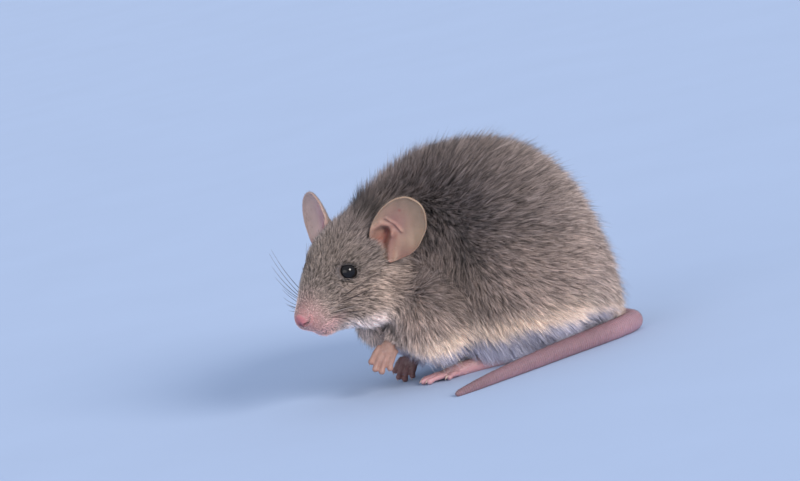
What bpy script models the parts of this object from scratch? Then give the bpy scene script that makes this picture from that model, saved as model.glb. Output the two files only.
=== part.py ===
"""House mouse, life size, crouched on the floor and looking round past its left shoulder.

Metres, +Z up. The floor is Z = 0, the head points towards -X and the left side faces -Y.
The origin is the middle of the animal's bounding box, on the floor.

The furred body is modelled whole, out to the tips of its coat, and is then parted into
head, neck, trunk and haunches by thin cuts. Ears, eyes, legs, feet and tail are made
separately and are trimmed where they meet the coat.
"""

import math

import bmesh
import bpy
import numpy as np
from mathutils import Matrix, Vector
from mathutils.geometry import interpolate_bezier

MM = 0.001

# Driving dimensions, in millimetres.
CUT = 0.25  # width of the thin cuts between neighbouring pieces
BODY_VOXEL = 0.5  # grid on which the furred body is fused
BODY_SMOOTHING = 20  # rounds of smoothing of the fused body
BODY_KEPT = 0.033  # share of the fused body's faces that is kept
OVAL_CORNERS = 28
BALL_CORNERS = 15
TAIL_CORNERS = 12
DIGIT_CORNERS = 5
CLAW_CORNERS = 4

# The head, measured from the tip of the nose back along its own axis.
NOSE_TIP = Vector((-33.9, -9.3, 17.9))
HEAD_YAW = math.radians(29)
HEAD_PITCH = math.radians(20)
HEAD_ROLL = math.radians(10)
HEAD_BACK = 20.5  # where the head ends and the neck begins
NOSE_LENGTH = 1.3  # the naked tip of the nose
HEAD_OVALS = (  # distance behind the nose tip; lowest, widest and highest level; half width
    (0.4, -0.9, -0.1, 0.5, 0.6),
    (1.1, -2.0, -0.3, 1.1, 1.35),
    (2.4, -3.5, -0.7, 1.95, 2.1),
    (4.2, -5.1, -1.2, 3.2, 2.95),
    (6.5, -6.8, -1.6, 4.8, 4.3),
    (10.0, -8.8, -1.9, 6.6, 6.0),
    (14.0, -10.0, -2.0, 8.2, 7.9),
    (18.0, -10.5, -3.0, 8.9, 8.7),
    (22.0, -10.6, -3.8, 9.1, 8.3),
    (27.0, -9.8, -4.0, 9.0, 7.2),
)
# Masses of the head: place behind the nose tip, to the side and above the axis, and radii.
WHISKER_PAD = (Vector((4.9, 1.5, -2.0)), Vector((3.7, 2.1, 2.8)))
CHEEK = (Vector((14.5, 4.6, -4.4)), Vector((6.5, 4.6, 5.2)))
CHIN = (Vector((7.2, 0.0, -5.1)), Vector((3.8, 2.4, 2.3)))

# The trunk: place along X and Y; lowest, widest and highest level; half width.
TRUNK_OVALS = (
    (-20.6, 1.0, 11.5, 13.5, 17.0, 2.5),
    (-19.4, 1.8, 9.4, 14.0, 28.2, 5.4),
    (-16.5, 2.8, 7.2, 14.0, 34.6, 7.2),
    (-12.0, 3.0, 5.0, 14.0, 37.7, 8.8),
    (-7.0, 2.0, 3.0, 14.5, 40.1, 12.0),
    (-2.0, 0.8, 1.6, 15.0, 41.5, 15.6),
    (4.0, 0.0, 0.9, 14.5, 41.8, 17.8),
    (10.5, 0.0, 0.7, 14.0, 40.9, 17.9),
    (16.5, 0.0, 0.7, 13.5, 38.2, 17.2),
    (22.0, 0.0, 0.9, 12.5, 32.8, 14.9),
    (25.6, 0.0, 1.6, 11.0, 25.0, 11.7),
    (27.4, 0.0, 2.4, 8.5, 16.5, 7.8),
    (28.3, 0.0, 4.8, 7.5, 11.5, 2.8),
)
NECK_POINT = Vector((-13.0, 0.0, 25.0))  # on the cut between neck and trunk
NECK_NORMAL = Vector((-0.9, -0.1, 0.42)).normalized()
HAUNCH = (Vector((11.0, 13.2, 14.2)), Vector((11.0, 5.6, 10.0)))
HAUNCH_REGION = Vector((11.8, 7.0, 11.3))
SHOULDER = (Vector((-9.0, 6.8, 13.0)), Vector((8.0, 7.0, 8.6)))

# Ears: the rim's distance from the middle of the ear at each turn in degrees, 0 being outwards.
EAR_OUTLINE = (
    (0, 4.1),
    (33, 5.2),
    (62, 6.7),
    (86, 7.0),
    (126, 5.7),
    (151, 5.3),
    (170, 5.4),
    (201, 6.0),
    (221, 6.3),
    (261, 5.9),
    (279, 4.8),
    (308, 4.2),
    (345, 3.9),
)
EAR_MIDDLE = 6.4  # how far the middle of the ear is above its foot
EAR_HEIGHT = 13.2
EAR_CUP = 1.5
EAR_SKIN = 0.6
EAR_RINGS = 5
EAR_CORNERS = 22
# The foot of each ear, and the directions of its height and its opening, as forward, outwards and up.
EAR_FEET = {"left": Vector((19.2, 9.1, -0.4)), "right": Vector((18.6, 8.9, -0.4))}
EAR_UPS = {"left": Vector((-0.37, 0.20, 0.90)), "right": Vector((-0.57, 0.32, 0.90))}
EAR_FACES = {"left": Vector((0.88, 0.44, 0.22)), "right": Vector((0.81, 0.44, 0.36))}
EAR_TALLS = {"left": 1.0, "right": 0.94}

EYE_CENTRE = Vector((12.2, 3.95, 2.85))
EYE_RADIUS = 1.65

# Feet: heel and knuckles of the hind feet; elbow, wrist and knuckles of the left fore foot, wrist and
# knuckles of the right.
LEFT_HIND = (Vector((4.6, -5.4, 0.0)), Vector((-8.0, -4.8, 0.0)))
RIGHT_HIND = (Vector((12.4, 9.0, 0.0)), Vector((-0.2, 9.2, 0.0)))
LIFTED_FORE = (Vector((-11.5, -5.4, 12.5)), Vector((-16.9, -5.6, 9.2)), Vector((-18.2, -5.9, 7.6)))
RESTING_FORE = (Vector((-10.4, 4.6, 4.6)), Vector((-11.8, 4.3, 2.9)))

TAIL_ROUTE = (  # place and radius
    (24.0, 0.2, 4.0, 2.0),
    (26.4, -2.2, 2.7, 1.95),
    (28.1, -4.8, 1.95, 1.9),
    (28.2, -7.4, 1.80, 1.86),
    (24.6, -10.1, 1.74, 1.82),
    (19.5, -12.3, 1.66, 1.78),
    (10.9, -15.6, 1.50, 1.62),
    (4.2, -18.4, 1.34, 1.46),
    (-2.7, -21.1, 1.10, 1.22),
    (-8.2, -23.2, 0.80, 0.92),
    (-12.7, -24.7, 0.42, 0.52),
)

MATERIALS = {  # colour, roughness
    "fur": ((0.23, 0.19, 0.16), 0.9),
    "skin": ((0.52, 0.30, 0.26), 0.55),
    "eye": ((0.01, 0.01, 0.012), 0.08),
}


def finish(name):
    """The material of that name, made at its first use."""
    found = bpy.data.materials.get(name)
    if found:
        return found
    colour, roughness = MATERIALS[name]
    made = bpy.data.materials.new(name)
    made.use_nodes = True
    shader = made.node_tree.nodes["Principled BSDF"]
    shader.inputs["Base Color"].default_value = (*colour, 1.0)
    shader.inputs["Roughness"].default_value = roughness
    shader.inputs["Metallic"].default_value = 0.0
    return made


def add(name, mesh, material=None):
    """An object of this mesh in the scene. Without a material it is a helper that isn't part of the animal."""
    made = bpy.data.objects.new(name, mesh)
    bpy.context.scene.collection.objects.link(made)
    if material:
        mesh.materials.clear()
        mesh.materials.append(finish(material))
        mesh.shade_smooth()
    else:
        made.hide_render = True
        made.display_type = "WIRE"
    return made


def spline(rows, steps):
    """A Catmull-Rom curve through rows of numbers, with this many steps from row to row."""
    rows = np.array(rows, float)
    padded = np.vstack([2 * rows[0] - rows[1], rows, 2 * rows[-1] - rows[-2]])
    curve = []
    for before, start, end, after in zip(padded, padded[1:], padded[2:], padded[3:]):
        for t in np.arange(steps) / steps:
            slope, bend = end - before, 2 * before - 5 * start + 4 * end - after
            twist = 3 * start - before - 3 * end + after
            curve.append(start + 0.5 * (slope * t + bend * t**2 + twist * t**3))
    return np.array([*curve, rows[-1]])


def oval(centre, side, up, half_width, rise, drop, corners):
    """A ring of points: an oval whose upper and lower halves have their own heights."""
    ring = []
    for k in range(corners):
        turn = math.tau * k / corners
        height = rise if math.sin(turn) > 0 else drop
        ring.append(centre + side * half_width * math.cos(turn) + up * height * math.sin(turn))
    return ring


def loft(rings):
    """A closed mesh through rings of points given in millimetres."""
    form = bmesh.new()
    loops = [[form.verts.new(point * MM) for point in ring] for ring in rings]
    for near, far in zip(loops, loops[1:]):
        for k in range(len(near)):
            after = (k + 1) % len(near)
            form.faces.new((near[k], near[after], far[after], far[k]))
    for end in (loops[0], loops[-1]):
        form.faces.new(end)
    bmesh.ops.recalc_face_normals(form, faces=form.faces)
    return to_mesh(form)


def to_mesh(form):
    mesh = bpy.data.meshes.new("form")
    form.to_mesh(mesh)
    form.free()
    return mesh


def ellipsoid(centre, radii, turn=None):
    form = bmesh.new()
    bmesh.ops.create_uvsphere(form, u_segments=BALL_CORNERS, v_segments=BALL_CORNERS * 2 // 3, radius=1.0)
    matrix = Matrix.Translation(centre * MM) @ (turn or Matrix()) @ Matrix.Diagonal((*(radii * MM), 1))
    bmesh.ops.transform(form, matrix=matrix, verts=form.verts)
    return to_mesh(form)


def half_space(point, normal):
    """A large box whose one face lies at the point, with the rest of it on the normal's side."""
    size = 120 * MM
    form = bmesh.new()
    bmesh.ops.create_cube(form, size=size)
    turn = normal.to_track_quat("Z", "Y").to_matrix().to_4x4()
    place = Matrix.Translation(point * MM) @ turn @ Matrix.Translation((0, 0, size / 2))
    bmesh.ops.transform(form, matrix=place, verts=form.verts)
    return to_mesh(form)


def evaluated(helper):
    """The helper's mesh with its modifiers applied. The helper is removed."""
    bpy.context.view_layer.update()
    graph = bpy.context.evaluated_depsgraph_get()
    mesh = bpy.data.meshes.new_from_object(helper.evaluated_get(graph))
    bpy.data.objects.remove(helper)
    return mesh


def joined(meshes):
    """One mesh that holds several, which may overlap."""
    form = bmesh.new()
    for mesh in meshes:
        form.from_mesh(mesh)
    return to_mesh(form)


def union(meshes):
    """One closed mesh around several that overlap."""
    group = bpy.data.collections.new("pieces")
    bpy.context.scene.collection.children.link(group)
    helpers = [bpy.data.objects.new("piece", mesh) for mesh in meshes]
    for helper in helpers[1:]:
        group.objects.link(helper)
    whole = add("union", meshes[0])
    fuse = whole.modifiers.new("union", "BOOLEAN")
    fuse.operation, fuse.operand_type, fuse.collection = "UNION", "COLLECTION", group
    mesh = evaluated(whole)
    for helper in helpers:
        bpy.data.objects.remove(helper)
    bpy.data.collections.remove(group)
    return mesh


def trimmed(mesh, keep=(), remove=()):
    """The mesh inside every solid of keep and outside every solid of remove."""
    piece = add("trimmed", mesh.copy())
    cutters = []
    for operation, solids in (("INTERSECT", keep), ("DIFFERENCE", remove)):
        for solid in solids:
            cutters.append(add("cutter", solid))
            cut = piece.modifiers.new("cut", "BOOLEAN")
            cut.operation, cut.object = operation, cutters[-1]
    result = evaluated(piece)
    for cutter in cutters:
        bpy.data.objects.remove(cutter)
    return result


def grown(mesh, by=CUT):
    """A copy whose faces stand this far outside the mesh, in millimetres."""
    helper = add("grown", mesh.copy())
    move = helper.modifiers.new("grow", "DISPLACE")
    move.strength, move.mid_level = by * MM, 0.0
    return evaluated(helper)


def mirrored(vector, side):
    """A body place given for the right side, on the side wanted: 1 is right (+Y) and -1 left."""
    return Vector((vector.x, vector.y * side, vector.z))


def head_matrix():
    """From the head's terms (back, left, up from the nose tip) to the body frame, in millimetres."""
    turn = Matrix.Rotation(HEAD_YAW, 4, "Z") @ Matrix.Rotation(-HEAD_PITCH, 4, "Y")
    roll = Matrix.Rotation(HEAD_ROLL, 4, "X")
    own = Matrix(((1, 0, 0, 0), (0, -1, 0, 0), (0, 0, 1, 0), (0, 0, 0, 1)))
    return Matrix.Translation(NOSE_TIP) @ turn @ roll @ own


HEAD = head_matrix()


def head_place(back, left, up):
    return HEAD @ Vector((back, left, up))


def head_direction(forward, left, up):
    return (HEAD.to_3x3() @ Vector((-forward, left, up))).normalized()


def head_form():
    side, up = head_direction(0, 1, 0), head_direction(0, 0, 1)
    return loft(
        [
            oval(head_place(back, 0, wide), side, up, half_width, high - wide, wide - low, OVAL_CORNERS)
            for back, low, wide, high, half_width in spline(HEAD_OVALS, 4)
        ]
    )


def head_mass(mass, hand):
    """One rounded mass of the head. The hand is 1 on the left side and -1 on the right."""
    centre, radii = mass
    own_axes = HEAD.to_3x3().to_4x4()
    return ellipsoid(head_place(centre.x, hand * centre.y, centre.z), radii, own_axes)


def trunk_form():
    side, up = Vector((0, 1, 0)), Vector((0, 0, 1))
    return loft(
        [
            oval(Vector((x, y, wide)), side, up, half_width, high - wide, wide - low, OVAL_CORNERS)
            for x, y, low, wide, high, half_width in spline(TRUNK_OVALS, 4)
        ]
    )


def furred_body():
    """Head, neck, trunk, shoulders and haunches as one smooth mass, out to the tips of the coat."""
    forms = [head_form(), trunk_form(), head_mass(CHIN, 1)]
    for side in (1, -1):
        forms.append(head_mass(WHISKER_PAD, side))
        forms.append(head_mass(CHEEK, side))
        forms.append(ellipsoid(mirrored(HAUNCH[0], side), HAUNCH[1]))
        forms.append(ellipsoid(mirrored(SHOULDER[0], side), SHOULDER[1]))
    body = add("body", joined(forms))
    fuse = body.modifiers.new("fuse", "REMESH")
    fuse.mode, fuse.voxel_size = "VOXEL", BODY_VOXEL * MM
    smooth = body.modifiers.new("smooth", "SMOOTH")
    smooth.factor, smooth.iterations = 0.5, BODY_SMOOTHING
    thin_out = body.modifiers.new("thin out", "DECIMATE")
    thin_out.ratio = BODY_KEPT
    return evaluated(body)


def ear_form(name):
    """A thin cupped ear: rings that widen from the deep middle to the rim, inside and outside."""
    hand = 1 if name == "left" else -1
    foot, up, face = EAR_FEET[name], EAR_UPS[name], EAR_FACES[name]
    foot = head_place(foot.x, hand * foot.y, foot.z)
    up = head_direction(up.x, hand * up.y, up.z)
    face = head_direction(face.x, hand * face.y, face.z)
    face = (face - up * face.dot(up)).normalized()
    across = up.cross(face) * hand
    degrees, reaches = np.array(EAR_OUTLINE).T

    def point(radius, turn, behind):
        reach = radius * np.interp(math.degrees(turn), degrees, reaches, period=360)
        width = reach * math.cos(turn)
        height = EAR_MIDDLE + reach * math.sin(turn)
        deep = EAR_CUP * (1 - radius**2.2) + 0.8 * (1 - height / EAR_HEIGHT)
        return foot + across * width + up * height * EAR_TALLS[name] - face * (deep + behind)

    turns = [math.tau * k / EAR_CORNERS for k in range(EAR_CORNERS)]
    radii = [(k + 0.6) / (EAR_RINGS - 0.4) for k in range(EAR_RINGS)]
    inner = [[point(radius, turn, 0.0) for turn in turns] for radius in radii]
    outer = [[point(radius, turn, EAR_SKIN) for turn in turns] for radius in radii]
    middle = [point(1.03, turn, EAR_SKIN / 2) for turn in turns]
    return loft([*inner, middle, *reversed(outer)])


def eye_form(side, radius):
    hand = 1 if side < 0 else -1
    centre = head_place(EYE_CENTRE.x, hand * EYE_CENTRE.y, EYE_CENTRE.z)
    return ellipsoid(centre, Vector((radius, radius, radius)))


def digit(base, tip, arch, radius, claw):
    """A toe or finger, arched upwards, with a pad at its end, and the claw that grows from it."""
    along = (tip - base).normalized()
    lift = (Vector((0, 0, 1)) - along * along.z).normalized()
    side = along.cross(lift)
    knuckle = base.lerp(tip, 0.5) + lift * arch
    path = interpolate_bezier(base, base.lerp(knuckle, 0.9), tip.lerp(knuckle, 0.6), tip, 5)
    rings = [
        oval(centre, side, lift, radius * size, radius * size, radius * size, DIGIT_CORNERS)
        for centre, size in zip(path, (1.0, 0.98, 0.88, 1.05, 0.6))
    ]
    root = path[3] + lift * radius * 0.3
    bend = root + along * claw * 0.8 + lift * claw * 0.1
    point = root + along * claw * 1.3 - lift * claw * 0.45
    nail = [
        oval(centre, side, lift, radius * size, radius * size * 1.3, radius * size, CLAW_CORNERS)
        for centre, size in ((root, 0.32), (bend, 0.26), (point, 0.09))
    ]
    return [loft(rings), loft(nail)]


def flat_soled(mesh):
    """Presses whatever lies below the floor up to it, so that the piece stands on small flats."""
    for vertex in mesh.vertices:
        vertex.co.z = max(vertex.co.z, 0.0)
    return mesh


def sole_form(start, end, out, up, sections, corners):
    """The sole or palm. Its sections give the share of its length, half width, middle and half height."""
    return loft(
        [
            oval(start.lerp(end, share) + up * middle, out, up, half_width, half, half, corners)
            for share, half_width, middle, half in sections
        ]
    )


def hind_foot(heel, knuckle):
    """A long hind foot from heel to claws, flat on the floor."""
    forward = (knuckle - heel).normalized()
    out = Vector((forward.y, -forward.x, 0))
    up = Vector((0, 0, 1))
    sections = (
        (0.0, 0.7, 1.3, 0.9),
        (0.06, 1.15, 1.3, 1.35),
        (0.35, 1.2, 1.35, 1.45),
        (0.65, 1.5, 1.15, 1.25),
        (0.9, 1.95, 0.95, 1.05),
        (1.03, 1.2, 0.8, 0.6),
    )
    pieces = [sole_form(heel, knuckle, out, up, sections, 12)]
    toes = (  # place across the foot, start along it, length, turn outwards in degrees
        (-1.45, -1.9, 2.9, -26),
        (-0.95, -0.3, 4.7, -9),
        (-0.05, 0.0, 5.1, 0),
        (0.85, -0.3, 4.7, 10),
        (1.45, -2.2, 3.1, 28),
    )
    for across, start, reach, splay in toes:
        turn = math.radians(splay)
        base = knuckle + forward * (start - 0.5) + out * across + up * 0.75
        aim = forward * math.cos(turn) + out * math.sin(turn)
        pieces += digit(base, base + aim * reach - up * 0.27, 0.55, 0.56, 0.85)
    return flat_soled(union(pieces))


def fore_paw(wrist, knuckle, up, reach, droop, spread):
    """A small four-fingered hand with a stub of a thumb. The fingers spread by this many degrees."""
    forward = (knuckle - wrist).normalized()
    up = (up - forward * up.dot(forward)).normalized()
    out = forward.cross(up)
    sections = ((0.0, 1.1, 0.0, 0.9), (0.5, 1.55, 0.0, 0.85), (0.9, 1.8, 0.0, 0.7), (1.15, 1.2, 0.0, 0.4))
    pieces = [sole_form(wrist, knuckle, out, up, sections, 10)]
    fingers = (  # place across the hand, start along it, share of the reach, share of the spread
        (-1.4, -0.5, 0.84, -1.2),
        (-0.48, 0.0, 1.0, -0.4),
        (0.48, 0.0, 1.0, 0.4),
        (1.4, -0.4, 0.86, 1.2),
    )
    for across, start, share, splay in fingers:
        turn = math.radians(spread * splay)
        base = knuckle + forward * (start - 0.4) + out * across
        aim = forward * math.cos(turn) + out * math.sin(turn)
        pieces += digit(base, base + aim * (reach * share + 0.4) - up * droop, 0.3, 0.58, 0.65)
    thumb = wrist.lerp(knuckle, 0.5) - out * 1.15
    stub = ((0.0, 0.42), (0.6, 0.40), (0.95, 0.18))
    pieces.append(loft([oval(thumb - out * far, forward, up, r, r, r, DIGIT_CORNERS) for far, r in stub]))
    return flat_soled(union(pieces))


def fore_leg(elbow, wrist, thick, thin):
    """The furred forearm, from inside the chest down to the wrist."""
    along = (wrist - elbow).normalized()
    side = along.cross(Vector((0, 0, 1))).normalized()
    up = side.cross(along)
    girths = ((0.0, thick), (0.3, thick * 0.95), (0.65, (thick + thin) / 2), (0.9, thin), (1.0, thin * 0.85))
    return loft([oval(elbow.lerp(wrist, share), side, up, g, g, g, 12) for share, g in girths])


def tail_pieces(count):
    """The tail, laid round on the floor, as this many lengths."""
    route = spline(TAIL_ROUTE, 3)
    centres = [Vector(row[:3]) for row in route]
    rings = []
    for k, centre in enumerate(centres):
        along = (centres[min(k + 1, len(centres) - 1)] - centres[max(k - 1, 0)]).normalized()
        side = along.cross(Vector((0, 0, 1))).normalized()
        radius = route[k][3]
        rings.append((centre, along, oval(centre, side, side.cross(along), radius, radius, radius, TAIL_CORNERS)))
    bounds = [round(k * (len(rings) - 1) / count) for k in range(count + 1)]
    pieces = []
    for first, last in zip(bounds, bounds[1:]):
        run = [ring for _, _, ring in rings[first : last + 1]]
        if last < len(rings) - 1:
            run[-1] = [point - rings[last][1] * CUT for point in run[-1]]
        else:
            tip, along, _ = rings[last]
            run.append([tip + (point - tip) * 0.55 + along * 0.35 for point in run[-1]])
        pieces.append(flat_soled(loft(run)))
    return pieces


def centre_on_floor(objects):
    """Moves the animal so that the origin is the middle of its bounding box, on the floor."""
    bpy.context.view_layer.update()
    corners = np.array([vertex.co for made in objects for vertex in made.data.vertices])
    low, high = corners.min(axis=0), corners.max(axis=0)
    middle = Vector((*((low + high) / 2)[:2], low[2]))
    for made in objects:
        made.data.transform(Matrix.Translation(-middle))


def body_pieces(body, feet):
    """The furred body parted by thin cuts, with sockets for the eyes and recesses for the feet."""
    forward = head_direction(1, 0, 0)
    back_of_head = head_place(HEAD_BACK, 0, 0)
    nose_line = head_place(NOSE_LENGTH, 0, 0)
    neck_side = half_space(NECK_POINT + NECK_NORMAL * CUT / 2, NECK_NORMAL)
    trunk_side = half_space(NECK_POINT - NECK_NORMAL * CUT / 2, -NECK_NORMAL)
    head_side = half_space(back_of_head + forward * CUT / 2, forward)
    behind_head = half_space(back_of_head - forward * CUT / 2, -forward)
    behind_nose = half_space(nose_line, -forward)
    nose_side = half_space(nose_line + forward * CUT, forward)
    sockets = [eye_form(side, EYE_RADIUS + CUT) for side in (1, -1)]
    recesses = [grown(foot, 0.3) for foot in feet]
    gap = Vector((CUT, CUT, CUT))
    haunch_gaps = [ellipsoid(mirrored(HAUNCH[0], side), HAUNCH_REGION + gap) for side in (1, -1)]
    haunches = [ellipsoid(mirrored(HAUNCH[0], side), HAUNCH_REGION) for side in (1, -1)]
    return {
        "nose": trimmed(body, keep=[nose_side]),
        "head": trimmed(body, keep=[head_side, neck_side, behind_nose], remove=sockets),
        "neck": trimmed(body, keep=[behind_head, neck_side]),
        "trunk": trimmed(body, keep=[trunk_side], remove=haunch_gaps + recesses),
        "haunch_right": trimmed(body, keep=[haunches[0]], remove=recesses),
        "haunch_left": trimmed(body, keep=[haunches[1]], remove=recesses),
    }


def fore_pieces(coat_edge):
    """Both forepaws, and the left forearm with its cuff of coat. The right forearm is inside the body's coat."""
    arm = trimmed(fore_leg(*LIFTED_FORE[:2], 3.2, 2.0), remove=[coat_edge])
    left = fore_paw(*LIFTED_FORE[1:], up=Vector((-0.35, -0.9, 0.25)), reach=3.8, droop=0.3, spread=6)
    right = fore_paw(*RESTING_FORE, up=Vector((-0.6, -0.7, 0.4)), reach=3.2, droop=0.3, spread=8)
    return arm, trimmed(left, remove=[grown(arm), coat_edge]), trimmed(right, remove=[coat_edge])


def main():
    for old in list(bpy.data.objects):
        bpy.data.objects.remove(old)

    body = furred_body()
    coat_edge = grown(body)
    feet = {"hind_foot_left": hind_foot(*LEFT_HIND), "hind_foot_right": hind_foot(*RIGHT_HIND)}
    furred = body_pieces(body, feet.values())
    bare = dict(feet)
    furred["foreleg_left"], bare["forepaw_left"], bare["forepaw_right"] = fore_pieces(coat_edge)
    for name in ("left", "right"):
        bare["ear_" + name] = trimmed(ear_form(name), remove=[coat_edge])
    tail = tail_pieces(4)
    tail[0] = trimmed(tail[0], remove=[coat_edge])
    for k, mesh in enumerate(tail):
        bare[f"tail_{k + 1}"] = mesh
    bare["nose"] = furred.pop("nose")

    nodes = [add(name, mesh, "fur") for name, mesh in furred.items()]
    nodes += [add(name, mesh, "skin") for name, mesh in bare.items()]
    nodes += [add("eye_left", eye_form(-1, EYE_RADIUS), "eye"), add("eye_right", eye_form(1, EYE_RADIUS), "eye")]
    centre_on_floor(nodes)


main()
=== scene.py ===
"""House mouse, life size: skin, coat, eyes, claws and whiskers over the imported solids.

The shapes are worked out in millimetres in the animal's own terms: the head points towards -X,
the left side faces -Y and the floor is Z = 0. They are moved onto the frame by the place of its
left eye, and every piece is made in metres there.
"""

import functools
import math

import bmesh
import bpy
import numpy as np
from mathutils import Matrix, Vector, kdtree
from mathutils.bvhtree import BVHTree


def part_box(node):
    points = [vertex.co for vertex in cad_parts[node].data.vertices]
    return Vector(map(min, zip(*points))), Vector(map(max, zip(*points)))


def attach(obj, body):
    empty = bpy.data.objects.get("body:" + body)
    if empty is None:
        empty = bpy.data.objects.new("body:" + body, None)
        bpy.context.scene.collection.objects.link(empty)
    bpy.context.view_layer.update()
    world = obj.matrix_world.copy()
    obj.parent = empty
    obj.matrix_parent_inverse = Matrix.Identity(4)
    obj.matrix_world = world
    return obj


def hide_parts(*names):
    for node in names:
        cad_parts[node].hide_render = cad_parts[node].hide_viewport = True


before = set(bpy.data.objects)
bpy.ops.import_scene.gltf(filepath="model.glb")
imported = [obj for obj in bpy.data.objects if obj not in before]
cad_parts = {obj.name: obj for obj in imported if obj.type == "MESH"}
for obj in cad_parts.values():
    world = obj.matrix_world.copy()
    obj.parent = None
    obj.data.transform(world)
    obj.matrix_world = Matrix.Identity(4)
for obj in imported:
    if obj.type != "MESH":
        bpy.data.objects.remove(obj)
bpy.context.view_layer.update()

bl_info = {
    "name": "House Mouse",
    "version": (1, 0, 0),
    "blender": (4, 5, 0),
    "location": "3D View > Sidebar > Mouse",
    "description": "Builds the skin, coat and stage of a life-size house mouse over its packed solids",
    "category": "Object",
}

MM = 0.001
UV_NAME = "OFBake"
PATCH = 0.003  # how much of the bake's map one tuft takes

# The head, measured from the tip of the nose: back along its axis, to its left, and up.
NOSE_TIP = np.array((-33.9, -9.3, 17.9))
HEAD_TURN = (
    Matrix.Rotation(math.radians(29), 3, "Z")
    @ Matrix.Rotation(math.radians(-20), 3, "Y")
    @ Matrix.Rotation(math.radians(10), 3, "X")
    @ Matrix.Diagonal((1, -1, 1))
)
HEAD_AXES = np.array(HEAD_TURN)

# Where the head ends behind, and the plane that parts the neck from the trunk.
HEAD_BACK = 20.5
NECK_POINT = np.array((-13.0, 0.0, 25.0))
NECK_NORMAL = np.array((-0.904, -0.1, 0.42))

# The left eye in the head's terms, which the right one mirrors: middle, sizes, directions out and along.
EYE = (12.2, 3.95, 2.85)
EYE_RADIUS = 1.65  # of the solid
EYEBALL_RADIUS = 1.76  # of the ball that shows between the lids
EYE_BULGES = {1: 0.30, -1: -0.05}  # how far each eyeball stands forward of its middle
EYE_AXIS = (-0.50, 0.76, 0.40)
EYE_LONG_AXIS = (0.65, 0.63, -0.38)
# Half the opening between the lids, along and across, in degrees. The right eye is narrowed.
EYE_OPENINGS = {1: (86.0, 41.0), -1: (66.0, 38.0)}
LEAST_BARE = 0.26  # the bare skin round the opening at its narrowest
BARE_CORNER = 2.9  # the turn round the eye at which the bare skin is widest: its front corner
LID_REACH = 4.6  # how far from the eye anything is measured against its lids
FAR_OFF = 9.0  # the measure given beyond that reach
SOCKET_GAP = 0.35  # how far inside the eye's solid the skin of its socket lies

WHISKER_SIDES = {1: (0.4, 0.66, 1.7), -1: (0.55, 1.0, 1.0)}  # share left out, then shares of length and width
EYE_WHISKERS = ((9.4, 3.2, 5.7), (10.2, 3.6, 5.9))  # the roots of those above an eye

# The ears, left (1) and right (-1): foot, directions of height and opening, share of the full height, and how
# far the tip leans back.
EAR_FEET = {1: (19.2, 9.1, -0.4), -1: (18.6, 8.9, -0.4)}
EAR_UPS = {1: (0.37, 0.20, 0.90), -1: (0.57, 0.32, 0.90)}
EAR_FACES = {1: (-0.88, 0.44, 0.22), -1: (-0.81, 0.44, 0.36)}
EAR_TALLS = {1: 1.0, -1: 0.94}
EAR_LEANS = {1: 0.0, -1: 0.44}
EAR_HEIGHT = 13.2
EAR_MIDDLE = 6.4
EAR_OUTLINE = (  # turns in degrees, and the rim's distance from the middle of the ear at each
    (0, 33, 62, 86, 126, 151, 170, 201, 221, 261, 279, 308, 345),
    (4.1, 5.2, 6.7, 7.0, 5.7, 5.3, 5.4, 6.0, 6.3, 5.9, 4.8, 4.2, 3.9),
)

# Fore legs: elbow, wrist and knuckles. Hind feet: heel and knuckles.
LIFTED_FORE = ((-11.5, -5.4, 12.5), (-16.9, -5.6, 9.2), (-18.2, -5.9, 7.6))
RESTING_FORE = ((-6.5, 5.0, 9.0), (-10.4, 4.6, 4.6), (-11.8, 4.3, 2.9))
LEFT_HIND = ((4.6, -5.4, 0.0), (-8.0, -4.8, 0.0))
RIGHT_HIND = ((12.4, 9.0, 0.0), (-0.2, 9.2, 0.0))
TOES = (  # place across the foot, start along it, length, turn outwards in degrees
    (-1.45, -1.9, 2.9, -26),
    (-0.95, -0.3, 4.7, -9),
    (-0.05, 0.0, 5.1, 0),
    (0.85, -0.3, 4.7, 10),
    (1.45, -2.2, 3.1, 28),
)
FINGERS = (  # place across the hand, start along it, share of the reach, share of the spread
    (-1.4, -0.5, 0.84, -1.2),
    (-0.48, 0.0, 1.0, -0.4),
    (0.48, 0.0, 1.0, 0.4),
    (1.4, -0.4, 0.86, 1.2),
)
TAIL_ROUTE = (  # place and radius
    (24.0, 0.2, 4.0, 2.0),
    (26.4, -2.2, 2.7, 1.95),
    (28.1, -4.8, 1.95, 1.9),
    (28.2, -7.4, 1.80, 1.86),
    (24.6, -10.1, 1.74, 1.82),
    (19.5, -12.3, 1.66, 1.78),
    (10.9, -15.6, 1.50, 1.62),
    (4.2, -18.4, 1.34, 1.46),
    (-2.7, -21.1, 1.10, 1.22),
    (-8.2, -23.2, 0.80, 0.92),
    (-12.7, -24.7, 0.42, 0.52),
)
FURRED = ("head", "neck", "trunk", "haunch_left", "haunch_right", "foreleg_left", "nose")
BARE = ("ear_left", "ear_right", "forepaw_left", "forepaw_right", "hind_foot_left", "hind_foot_right")
TAIL = ("tail_1", "tail_2", "tail_3", "tail_4")
HANDS = {1: "left", -1: "right"}  # the factor that turns a place on the left into one on each side

# How fine things are made: grids for fused surfaces, points along a hair, faces allowed in one piece of coat.
BODY_GRID = 0.42
PAW_GRID = 0.155
HAIR_POINTS = 3
FLATTEST = 84  # the most that a hair leans, in degrees from the skin's normal
TAPER = 0.62  # the width of a blade before its last point, beside that at its root
COAT_LIMIT = 200_000

# One seed for each group of random draws.
COAT_SEED, DOWN_SEED, WHISKER_SEED = 7, 21, 5


# ---------------------------------------------------------------- places and directions


def unit(vectors):
    """The vectors at length 1."""
    length = np.linalg.norm(vectors, axis=-1, keepdims=True)
    return vectors / np.maximum(length, 1e-9)


def dot(first, second):
    return (first * second).sum(axis=-1)


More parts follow.
